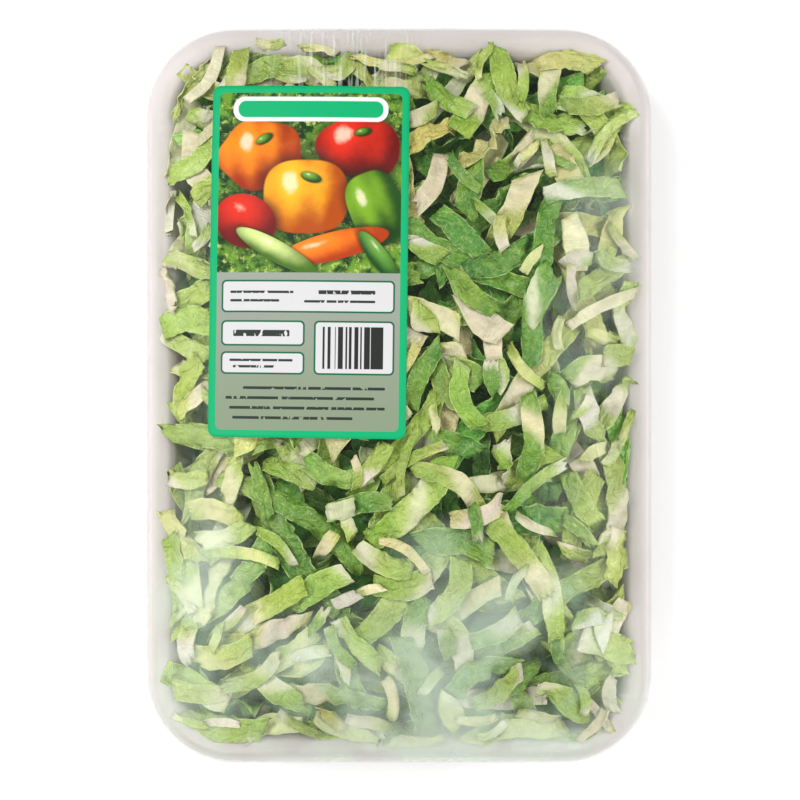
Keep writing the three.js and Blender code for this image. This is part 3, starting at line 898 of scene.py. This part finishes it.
def weld(obj, distance=2e-5):
    mesh = bmesh.new()
    mesh.from_mesh(obj.data)
    bmesh.ops.remove_doubles(mesh, verts=mesh.verts, dist=distance)
    bmesh.ops.recalc_face_normals(mesh, faces=mesh.faces)
    mesh.to_mesh(obj.data)
    mesh.free()


def ring_mesh(name, rings, material, colour=None):
    """A skin through rings of points, with an even leaf colour where one is given."""
    verts, uv, points = np.vstack(rings), None, None
    if colour is not None:
        uv, zeros = verts[:, :2] + verts[:, 2:], np.zeros(len(verts))
        points = {"leaf_colour": np.tile(colour, (len(verts), 1)), "rib": zeros, "across": zeros}
    faces = ring_faces(len(rings), len(rings[0]))
    obj = make_mesh(name, verts, faces, material, uv=uv, points=points)
    weld(obj)
    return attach(obj, "root")


def make_core(material):
    """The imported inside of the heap, which fills the tray under the loose strips."""
    wall = [(72, 4.9), (60, 4.9), (30, 4.9), (20.5, 4.9), (17.6, 5.6), (15.2, 11), (12.6, 17.2)]
    rings = [at_height(ring(inset, 16, 40, 60), z) for inset, z in wall]
    for inset in np.r_[np.arange(11, 71.5, 1.3), 72]:
        xy = ring(inset, 16, 40, 60)
        x, y = xy.T
        lumps = 0.9 * smooth_noise(x, y, 4, 13) + 0.5 * smooth_noise(x + 0.6 * y, y, 2.6, 12)
        rings.append(at_height(xy, np.maximum(on_grid(INSIDE, x, y, MAP_AT) - 1.3 + lumps, 5.5)))
    # the inside takes the painted shade colour of leaf deep in the heap
    return ring_mesh("heap_core", rings, material, LEAF["shade"])


# ---- the foam tray
TRAY_UNDER = [(24, 2.1), (21, 0.9), (17, 0.9), (13.4, 2.7), (5.8, 21), (2.2, 23), (0.3, 23.8)]
TRAY_MIDDLE = (72, 60, 40, 28)


def make_tray(material):
    under = curve_through(TRAY_UNDER + TRAY_PROFILE[:1], 4)
    over = curve_through(TRAY_PROFILE, 5)[1:]
    foot, floor = [(d, 2.1) for d in TRAY_MIDDLE], [(d, 4.2) for d in TRAY_MIDDLE[::-1]]
    profile = np.vstack([foot, under, over, floor])
    rings = [at_height(ring(inset, 16, 30, 44), z) for inset, z in profile]
    return ring_mesh("foam_tray", rings, material)


# ---- the film, taut over the strips
FINE = 1.5
FINE_X = np.arange(-76.5, 76.6, FINE)
FINE_Y = np.arange(-109.5, 109.6, FINE)
OVER_STRIPS, OVER_FILM = 0.12, 0.22
FILM_PASSES, LABEL_ROUNDS, LABEL_PASSES = 260, 12, 30


def spread_max(a):
    """Each cell's highest value among itself and its eight neighbours."""
    p = np.pad(a, 1, constant_values=EMPTY)
    rows, cols = a.shape
    return np.maximum.reduce([p[i : i + rows, j : j + cols] for i in range(3) for j in range(3)])


def neighbour_mean(a):
    p = np.pad(a, 1, mode="edge")
    return (p[:-2, 1:-1] + p[2:, 1:-1] + p[1:-1, :-2] + p[1:-1, 2:]) / 4


def relax(height, floor, held, passes):
    """Draws a sheet taut over what is under it. It stays where held is true."""
    for _ in range(passes):
        height = np.where(held, height, np.maximum(neighbour_mean(height), floor))
    return height


def sheet_heights(pieces):
    """Heights of the film and of the label over the pieces, on the fine grid."""
    x, y = np.meshgrid(FINE_X, FINE_Y, indexing="ij")
    load = np.full(x.shape, EMPTY)
    for piece in pieces:
        co = np.empty(3 * len(piece.data.vertices), np.float32)
        piece.data.vertices.foreach_get("co", co)
        co = co.reshape(-1, 3) / MM
        i = np.round((co[:, 0] - FINE_X[0]) / FINE).astype(int)
        j = np.round((co[:, 1] - FINE_Y[0]) / FINE).astype(int)
        np.maximum.at(load, (i, j), co[:, 2])
    inset = tray_inset(x, y)
    lip = np.where((inset > 2.5) & (inset < 5.5), tray_top(x, y), EMPTY)
    floor = np.maximum(spread_max(load), lip) + OVER_STRIPS
    film = relax(film_under(x, y) + 0.3, floor, inset < 2, FILM_PASSES)
    near = label_inset(x, y) > -1.5
    label_floor = np.where(near, film, EMPTY)
    label = film.copy()
    for _ in range(LABEL_ROUNDS):
        label = relax(label, label_floor, ~near, LABEL_PASSES)
        # paper bends one way alone, so it bridges the hollows across it
        p = np.pad(label, 1, mode="edge")
        label = np.where(near, np.maximum((p[:-2, 1:-1] + p[2:, 1:-1]) / 2, label), label)
    label += OVER_FILM
    return np.where(near, np.maximum(film, label - 0.3), film), label


def on_grid(grid, x, y, at=(FINE_X[0], FINE_Y[0], FINE)):
    """Values between a grid's points. at: the first point's place and the step."""
    x0, y0, step = at
    fx = np.clip((x - x0) / step, 0, grid.shape[0] - 1.001)
    fy = np.clip((y - y0) / step, 0, grid.shape[1] - 1.001)
    i, j = fx.astype(int), fy.astype(int)
    low, high = (mix(grid[i, k], grid[i + 1, k], fx - i) for k in (j, j + 1))
    return mix(low, high, fy - j)


FLAP_X, FLAP_Y = 30, 70


def make_flap(material):
    """The film's overlapping end, stuck flat under the base."""
    n, m = 60, 110
    u, v = np.meshgrid(np.linspace(-1, 1, n), np.linspace(-1, 1, m), indexing="ij")
    x = u * FLAP_X + 2.5 * smooth_noise(v * 60, u * 40, 14, 5) * np.abs(u) ** 6
    y = v * FLAP_Y + 2 * smooth_noise(u * 40, v * 10, 12, 6) * np.abs(v) ** 6
    z = 0.2 + 0.1 * smooth_noise(x * 1.6 + y * 0.3, y * 0.35, 9, 7)
    verts = np.stack([x, y, z], -1).reshape(-1, 3)
    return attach(make_mesh("film_overlap", verts, grid_quads(n, m)[:, ::-1], material), "root")


# The film's section below the lip, from there down the side and in under the base.
FILM_LIP = [(1.2, 27.05), (0.1, 26.55), (-0.42, 25.4), (-0.4, 23.9), (2, 19.6)]
FILM_SIDE = [(4.5, 15.2), (7, 10.7), (9.5, 6.2), (11.5, 2.8), (13, 1.0), (14.6, 0.42), (17, 0.45)]
FILM_FOOT = [(d, 0.5) for d in (20, 25, 32, 40, 46, 51)]


def gathered(xy, z, inset):
    """A ring of the film below the lip, gathered at the corners and deepest round the foot."""
    x, y = xy.T
    out_x, out_y = np.abs(x) - (TRAY_X - 34), np.abs(y) - (TRAY_Y - 34)
    corner = rising(np.hypot(np.maximum(out_x, 0), np.maximum(out_y, 0)), 8, 20)
    a, key = np.arctan2(out_y, out_x), np.sign(x) * 1.7 + np.sign(y) * 0.9
    gather = np.sin(a * 23 + key) + 0.6 * np.sin(a * 41 + 2.2 * key) + 0.4 * np.sin(a * 67 + key)
    if z > 0.9:
        out = 0.55 * rising(-z, -26.5, -2.5) * corner * (gather + 1.2) / 2
        out += 0.12 * rising(-z, -26, -20) * smooth_noise(x, y, 11, 8)
        along = np.gradient(xy, axis=0)
        normal = np.stack([along[:, 1], -along[:, 0]], 1)
        xy = xy + normal * (out / np.linalg.norm(normal, axis=1))[:, None]
        return at_height(xy, z)
    lifted = 0.22 * (corner * gather / 2 + 0.6 * smooth_noise(x, y, 16, 3)) * rising(inset, 13, 16)
    return at_height(xy, np.clip(z + lifted, 0.02, 0.82))


def make_film(film, material):
    """One sheet: over the strips, over the lip, down the sides and closed under the base."""
    steps = (26, 50, 76)
    insets = np.r_[72, np.arange(70.5, 6, -1.5), 5.2, 4.2, 3.2, 2.2]
    tops = [ring(inset, *steps) for inset in insets]
    rings = [at_height(xy, on_grid(film, *xy.T)) for xy in tops]
    for inset, z in [*curve_through(FILM_LIP, 3), *FILM_SIDE, *FILM_FOOT]:
        rings.append(gathered(ring(inset, *steps), z, inset))
    return ring_mesh("stretch_film", rings, material)


# ---- the label
# Half size, corner, middle and turn.
LABEL = dict(x=28.0, y=50.0, r=2.2, cx=-25.5, cy=38.0, turn=-0.012)
LABEL_COS, LABEL_SIN = math.cos(LABEL["turn"]), math.sin(LABEL["turn"])


def label_inset(x, y):
    c, s, dx, dy = LABEL_COS, LABEL_SIN, x - LABEL["cx"], y - LABEL["cy"]
    return inset_of(c * dx + s * dy, c * dy - s * dx, LABEL["x"], LABEL["y"], LABEL["r"])


def make_label(label, material):
    """A closed sheet of paper lying on the film. Its uv is in millimetres from its middle."""
    n, m, r, c, s = 57, 101, LABEL["r"], LABEL_COS, LABEL_SIN
    u, v = np.meshgrid(np.linspace(-1, 1, n), np.linspace(-1, 1, m), indexing="ij")
    u, v = u * LABEL["x"], v * LABEL["y"]
    # points in the square corners are drawn in to the round ones
    in_x, in_y = LABEL["x"] - r, LABEL["y"] - r
    qx, qy = np.abs(u) - in_x, np.abs(v) - in_y
    corner = (qx > 0) & (qy > 0)
    far = np.hypot(np.maximum(qx, 0), np.maximum(qy, 0))
    pull = np.maximum(np.maximum(qx, qy), 1e-9) / np.maximum(far, 1e-9)
    u = np.where(corner, np.sign(u) * (in_x + qx * pull), u)
    v = np.where(corner, np.sign(v) * (in_y + qy * pull), v)
    x, y = LABEL["cx"] + c * u - s * v, LABEL["cy"] + s * u + c * v
    z = on_grid(label, x, y)
    sides = [np.stack([x, y, z + lift], -1) for lift in (0.04, -0.05)]
    verts = np.concatenate(sides).reshape(-1, 3)
    faces, sharp = double_sheet(n, m)
    uv = np.tile(np.stack([u, v], -1).reshape(-1, 2), (2, 1))
    printed = np.repeat([1.0, 0.0], n * m)
    obj = make_mesh("sticker_label", verts, faces, material, sharp, uv, {"printed": printed})
    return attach(obj, "root")


# ---- materials
def leaf_material(name):
    """A leaf's flesh: veins and fibres over the strip's own colours, and a painted highlight along
    its cut edges.
    """
    n = Nodes(name)
    colour, rib, across = n.attribute("leaf_colour", 0), n.attribute("rib"), n.attribute("across")
    uv = n.uv()
    bent = n.noise(uv, 0.2, 2, flat=True, out=1)
    wide = bent.output(0)
    mottle = n.noise(uv, 0.5, 3, 0.6, flat=True)
    fine = n.noise(uv, 1.6, 2, 0.6, flat=True)
    warp = n.vector("ADD", uv, n.vector("MULTIPLY", bent, (4, 4, 0)))
    large, small = n.cells(n.stretch(warp, (0.16, 0.30, 1)), 1.0), n.cells(warp, 0.8)
    blade = 1.0 - rib
    vein = (n.fall(large, 0.0, 0.06) + n.fall(small, 0.0, 0.10) * 0.4) * blade
    puff = (n.ramp(large, 0.0, 0.35) + n.ramp(small, 0.0, 0.4) * 0.35) * blade
    fibre = (n.noise(n.stretch(uv, (2.0, 0.12, 1)), 1.0, 2, 0.5, flat=True) - 0.5) * rib
    shade = 0.61 + wide * 0.42 + mottle * 0.28 + fine * 0.12 + fibre * 0.22
    base = n.mix(1.0, colour, n.add("CombineColor", {0: shade, 1: shade, 2: shade}), "MULTIPLY")
    base = n.mix(n.ramp(mottle, 0.48, 0.68) * (blade * 0.16), base, rgba(196, 208, 104))
    base = n.mix(vein * 0.13, base, rgba(190, 212, 132))
    # painted highlight: the cut edges are made lighter in patches, for light that catches them and
    # shines through
    edge_light_patches = n.ramp(n.noise(uv, 0.35, 1, flat=True), 0.36, 0.56)
    base = n.mix(n.ramp(abs(across), 0.88, 0.98) * edge_light_patches * 0.6, base, rgba(212, 232, 150))
    normal = n.bump(wide * 1.2 + puff * 0.6 + fibre * 0.3 + mottle * 0.45, 0.0008, 0.8)
    return n.principled(base, 0.24 + fine * 0.2, normal, 0.5)


def foam_material():
    """Foamed polystyrene: a satin skin over fine closed cells."""
    n = Nodes("foam_white")
    place = n.place()
    cells = n.add("TexVoronoi", {"Vector": place, "Scale": 1100.0})
    skin = n.noise(place, 220.0, 3, 0.6)
    patches = n.ramp(n.noise(place, 28.0, 2), 0.3, 0.7)
    base = n.mix(patches, rgba(205, 197, 194), rgba(211, 205, 202))
    base = n.mix(skin * 0.12, base, rgba(212, 206, 207))
    return n.principled(base, 0.42 + skin * 0.2, n.bump(cells * 0.5 + skin, 0.0002, 0.35), 0.4)


def blot(n, x, y, centre, half, soft):
    """1 inside an ellipse, given in millimetres, and 0 outside, with a soft edge."""
    dx, dy = (x - centre[0] * MM) / (half[0] * MM), (y - centre[1] * MM) / (half[1] * MM)
    return n.fall(n.length(dx, dy), 1 - soft, 1 + soft)


# Where the film is whitened: centre, half size, softness and how much. Most spots are fog from the
# leaves. The two on the right flank are fog and painted reflection, white standing in for glare
# off the film.
MIST_AND_GLARE = [((0, -92), (72, 28), 0.45, 1), ((58, 44), (13, 22), 0.6, 0.45),
        ((-58, -62), (14, 30), 0.6, 0.9), ((30, -66), (26, 16), 0.6, 0.9),
        ((56, 8), (14, 12), 0.6, 0.3), ((18, -44), (16, 8), 0.6, 0.6)]


def film_material():
    """Clear stretch film, fogged by the breathing leaves under it, with painted reflection on its
    right flank and painted glints on the folds at its top.
    """
    n = Nodes("clear_film")
    place = n.place()
    x, y, z = n.axes(place)
    # how white the film is: fog, and painted reflection on the right flank
    mist_and_glare = 0.0
    for *spot, share in MIST_AND_GLARE:
        mist_and_glare = n.math("MAXIMUM", mist_and_glare, blot(n, x, y, *spot) * share)
    cloud = n.noise(place, 38.0, 3, 0.6)
    streaks = n.noise(n.stretch(place, (900, 60, 60)), 1.0, 2, 0.6)
    # painted highlight: white streaks over the film's folds near its top, standing in for glints
    # off them
    painted_fold_glints = blot(n, x, y, (-16, 98), (20, 14), 0.5) * n.ramp(streaks, 0.5, 0.68)
    over_rim = n.ramp(z, 0.020, 0.027)
    # the whitening: fog, painted reflection and painted fold glints, only above the rim
    haze_and_glare = (mist_and_glare * n.ramp(cloud, 0.3, 0.62) * 0.34 + painted_fold_glints * 0.3) * over_rim + 0.004
    tension = n.noise(n.stretch(place, (40, 90, 40)), 1.0, 2)
    ridge = n.fall(abs(tension - 0.5), 0.0, 0.03) * n.ramp(cloud, 0.5, 0.6)
    normal = n.bump(tension + streaks * 0.2 + ridge * 0.8, 0.0006, 0.3)
    inputs = {"Base Color": rgba(222, 240, 222), "Roughness": 0.6, "Specular IOR Level": 0.2}
    body = n.add("BsdfPrincipled", inputs)
    clear = n.add("BsdfTransparent", {"Color": (0.985, 0.985, 0.985, 1)})
    veil = n.add("MixShader", {0: haze_and_glare, 1: clear, 2: body})
    gloss = n.add("BsdfGlossy", {"Color": (1, 1, 1, 1), "Roughness": 0.13, "Normal": normal})
    shine = n.add("Fresnel", {"IOR": 1.3, "Normal": normal}) * (over_rim * 0.3 + 0.35)
    return n.finish(n.add("MixShader", {0: shine, 1: veil, 2: gloss}))


# The label's print, in millimetres from its middle. Fruit and roots: middle, half size, turn,
# how many lobes, and the colours in shade and in light.
STALK = (20, 64, 12), (104, 150, 48)
FRUIT = [
    (-14, 30, 12, 10, 0.1, 5, (146, 40, 0), (242, 132, 10)),
    (14, 32, 12, 9, -0.1, 3, (96, 6, 4), (208, 40, 16)),
    (-1, 18, 12.5, 11, 0.0, 4, (160, 66, 0), (248, 172, 22)),
    (19, 15, 8, 11, 0.4, 4, (22, 66, 8), (116, 160, 32)),
    (-18, 11, 9, 7.5, -0.4, 0, (96, 4, 4), (204, 38, 18)),
    (7, 4, 16, 4, 0.25, 0, (160, 50, 0), (240, 122, 22)),
    (-9, 2.5, 13, 3, -0.5, 0, (60, 100, 20), (196, 212, 130)),
    (20, 1, 9, 2.6, -0.9, 0, (14, 66, 18), (96, 148, 58)),
    (-13, 34.5, 2.6, 1.3, 0.5, 0, *STALK),
    (0.5, 23.5, 3.0, 1.4, -0.3, 0, *STALK),
    (15, 36.6, 2.4, 1.2, 0.2, 0, (16, 56, 10), (92, 138, 40)),
]
# Blank panels and greeked lines: middle and half size.
STRIPES = (13.2, -24.6, 9.6, 5.9)
PANELS = [(0, -10.2, 24.5, 4.6), (13.2, -24.6, 11.3, 7.6), (-12.6, -20.6, 11.9, 3.6),
          (-12.6, -29, 11.9, 3.2)]
LINES = [(-13, -9, 9, 0.35), (-15, -11.4, 7, 0.35), (11, -9, 8, 0.55), (9, -11.6, 10, 0.35),
         (-13, -20.6, 8, 0.9), (-13, -28.2, 9, 0.35), (-15, -30, 6, 0.35),
         (2, -36, 20, 0.4), (-2, -38.8, 21, 0.4), (0, -41.6, 22, 0.4), (-4, -44.4, 17, 0.4)]


def label_material():
    """A printed paper label of a plain design: shapes, panels and stripes, and no words."""
    n = Nodes("printed_paper")
    uv = n.uv()
    x, y, _ = n.axes(uv)
    grain, leafy = n.noise(uv, 1.2, 4, 0.6), n.noise(uv, 0.22, 4, 0.6)

    def inside(cx, cy, hx, hy, r=0.8, soft=0.09):
        """1 inside a rounded rectangle and 0 outside."""
        qx, qy = abs(x - cx) - (hx - r), abs(y - cy) - (hy - r)
        far = n.length(n.math("MAXIMUM", qx, 0.0), n.math("MAXIMUM", qy, 0.0))
        far = far + n.math("MINIMUM", n.math("MAXIMUM", qx, qy), 0.0) - r
        return n.fall(far, -soft, soft)

    def oval(cx, cy, rx, ry, turn, lobes):
        """A rounded, lobed shape: its mask, its shadow on what is behind it and how it is lit."""
        c, t, dx, dy = math.cos(turn), math.sin(turn), x - cx, y - cy
        u, v = (dx * c + dy * t) / rx, (dy * c - dx * t) / ry
        far, lit = n.length(u, v), n.length(u + 0.34, v - 0.4)
        if lobes:
            far = far + n.math("COSINE", n.math("ARCTAN2", v, u) * lobes) * 0.05
            lit = lit + n.math("COSINE", u * (2.2 * lobes)) * 0.13
        lit = lit + (leafy - 0.5) * 0.5
        return n.fall(far, 0.97, 1.03), n.ramp(far, 0.9, 1.35, 0.75, 0.0), lit

    green, dark, panel = rgba(0, 158, 100), rgba(2, 88, 56), rgba(194, 193, 194)
    ink = n.mix(n.ramp(leafy, 0.40, 0.60), rgba(10, 56, 18), rgba(96, 138, 40))
    ink = n.mix(n.ramp(n.noise(uv, 0.4, 5, 0.75), 0.52, 0.64), ink, rgba(168, 184, 92))
    for *shape, low, bright in FRUIT:
        mask, shadow, lit = oval(*shape)
        tone = n.mix(n.ramp(lit, 0.15, 1.3), rgba(*bright), rgba(*low))
        tone = n.mix(n.fall(lit, 0.0, 0.26) * 0.55, tone, rgba(248, 232, 204))
        ink = n.mix(mask, n.mix(shadow, ink, rgba(8, 22, 8)), tone)
    # a plain ribbon in place of a name
    ink = n.mix(inside(0, 43.2, 22, 3.6, 3.2), ink, rgba(212, 214, 210))
    ink = n.mix(inside(0, 43.2, 20.6, 2.4, 2.2), ink, green)
    ground = n.mix(n.ramp(y, -48.0, -4.0), rgba(122, 136, 112), rgba(138, 144, 134))
    ink = n.mix(n.fall(y, -3.6, -3.4), ink, ground)
    for cx, cy, hx, hy in PANELS:
        ink = n.mix(inside(cx, cy, hx, hy, 1.4), ink, dark)
        ink = n.mix(inside(cx, cy, hx - 0.5, hy - 0.5, 1.0), ink, panel)
    # stripes of uneven width, in place of a code, and lines broken like words
    row = n.noise(n.add("CombineXYZ", {0: x * 1.9, 1: 0.5, 2: 0.5}), 1.0, 0)
    ink = n.mix(n.ramp(row, 0.47, 0.5) * inside(*STRIPES, 0.1), ink, rgba(34, 36, 34))
    words = n.ramp(n.noise(n.add("CombineXYZ", {0: x * 0.9, 1: y * 0.35}), 1.0, 1), 0.36, 0.4)
    for line in LINES:
        ink = n.mix(inside(*line, 0.3) * words, ink, rgba(36, 46, 40))
    ink = n.mix(inside(0, 0, LABEL["x"] - 2.1, LABEL["y"] - 2.1, 1.6), green, ink)
    base = n.mix(n.ramp(n.attribute("printed"), 0.4, 0.6), rgba(238, 238, 234), ink)
    base = n.mix(grain * 0.05, base, rgba(60, 66, 60))
    return n.principled(base, 0.5, n.bump(grain * 0.06 + n.noise(uv, 0.09, 2), 0.0005, 0.3), 0.16)


def floor_material():
    n = Nodes("pale_floor")
    base = n.mix(n.noise(n.place(), 6.0, 2) * 0.04, (0.93, 0.93, 0.93, 1), (0.88, 0.88, 0.88, 1))
    return n.principled(base, 0.9, None, 0.05)


# ---- camera, light and floor
PHOTO_WIDTH_PX, PIXELS_PER_METRE = 800, 3483
TRAY_FROM_MIDDLE_PX = (1, -4.5)
CAMERA_HEIGHT, SENSOR_MM = 0.9, 36
# Name, place, disc width and power, in metres and watts.
LIGHTS = [("key", (-0.42, 0.42, 0.95), 0.4, 5.6), ("fill", (0.75, -0.05, 0.62), 0.6, 5.2),
          ("left", (-0.8, -0.05, 0.62), 0.6, 4.0), ("low", (-0.1, -0.8, 0.6), 0.6, 1.9)]


def make_stage():
    """The camera straight above, as in the photo, soft lights and a pale floor."""
    scene = bpy.context.scene
    camera = bpy.data.objects.new("camera", bpy.data.cameras.new("camera"))
    camera.data.sensor_width = SENSOR_MM
    camera.data.lens = SENSOR_MM * PIXELS_PER_METRE * CAMERA_HEIGHT / PHOTO_WIDTH_PX
    x, y = (pixels / PIXELS_PER_METRE for pixels in TRAY_FROM_MIDDLE_PX)
    camera.location = (x, y, RIM * MM + CAMERA_HEIGHT)
    scene.collection.objects.link(camera)
    scene.camera = camera
    scene.view_settings.view_transform = "Standard"

    world = bpy.data.worlds.new("world")
    world.use_nodes = True
    background = world.node_tree.nodes["Background"]
    background.inputs["Color"].default_value = (1, 1, 1, 1)
    background.inputs["Strength"].default_value = 0.57
    scene.world = world

    for name, place, size, power in LIGHTS:
        data = bpy.data.lights.new(name, "AREA")
        data.shape, data.size, data.energy = "DISK", size, power
        light = bpy.data.objects.new(name, data)
        light.location = place
        aim = Vector((0, 0, 0.02)) - Vector(place)
        light.rotation_euler = aim.to_track_quat("-Z", "Y").to_euler()
        scene.collection.objects.link(light)

    square = [(-1500, -1500, 0), (1500, -1500, 0), (1500, 1500, 0), (-1500, 1500, 0)]
    floor = make_mesh("floor", square, [(0, 1, 2, 3)], floor_material())
    floor.location.z = -0.0002


# ---- building
make_stage()
nets = grow_nets()
heap = narrow(nets)
ribs = loose_strips(heap, RIBS, count=14, seed=97, choices=10)
steep = loose_strips(heap, STEEP, count=170, seed=41, choices=10)
loose = loose_strips(heap, LOOSE, count=200, seed=29)
border = loose_strips(heap, BORDER, count=150, seed=83, place=by_the_rim, choices=4)
bits = loose_strips(heap, BITS, count=160, seed=53, choices=4)
top_strips = sum([net["strips"] for net in nets], []) + steep + ribs + loose + border + bits
LAYERS = np.array([layer_of(strip) for strip in top_strips])
low = np.minimum(np.where(LAYERS > 0, LAYERS, OPEN).min(0), FILM_MAP - 1.8)
MAP_AT = (GRID_X[0, 0], GRID_Y[0, 0], CELL)
INSIDE = inside_top(low)
deep_heap = [np.maximum(height_map(tray_top), INSIDE.T.ravel() - 0.4)]
under_top = {**DEEP, "ceiling": low + FILM_CLEARANCE - 0.3}
deep = loose_strips(deep_heap, under_top, count=260, seed=71, choices=4)
LAYERS = np.vstack([LAYERS, [layer_of(strip) for strip in deep]])

leaf = leaf_material("leaf_flesh")
groups = [
    # name, strips, seed, what leaf each is, and slot
    ("strips_dark", nets[0]["strips"], 165, net_kinds("dark"), "leaf_dark"),
    ("strips_cream", nets[1]["strips"], 309, net_kinds("cream"), "leaf_cream"),
    ("strips_green", nets[2]["strips"], 157, net_kinds("green"), "leaf_green"),
    ("strips_deep", deep, 5, kinds((7, ("dark", 0.5), ("green", 1)), LOWEST), "leaf_dark"),
    ("strips_loose", steep + loose, 6, MIXED, "leaf_green"),
    ("strips_ribs", ribs, 9, kinds((OPEN, ("rib", 1))), "leaf_cream"),
    ("strips_border", border, 8, kinds((OPEN, ("green", 0.5), ("cream", 1))), "leaf_cream"),
    ("strips_bits", bits, 7, MIXED, "leaf_cream"),
]
pieces = []
for name, strips, seed, kind_of, slot in groups:
    pieces.append(make_strips(name, strips, seed, kind_of, leaf))
for piece, net in zip(pieces, nets):
    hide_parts(net["name"])

core = make_core(leaf)

tray = make_tray(foam_material())
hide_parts("tray")
film_z, label_z = sheet_heights(pieces)
clear = film_material()
film = make_film(film_z, clear)
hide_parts("film")
flap = make_flap(clear)
label = make_label(label_z, label_material())
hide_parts("label")

# ---- the last line
bpy.context.view_layer.update()
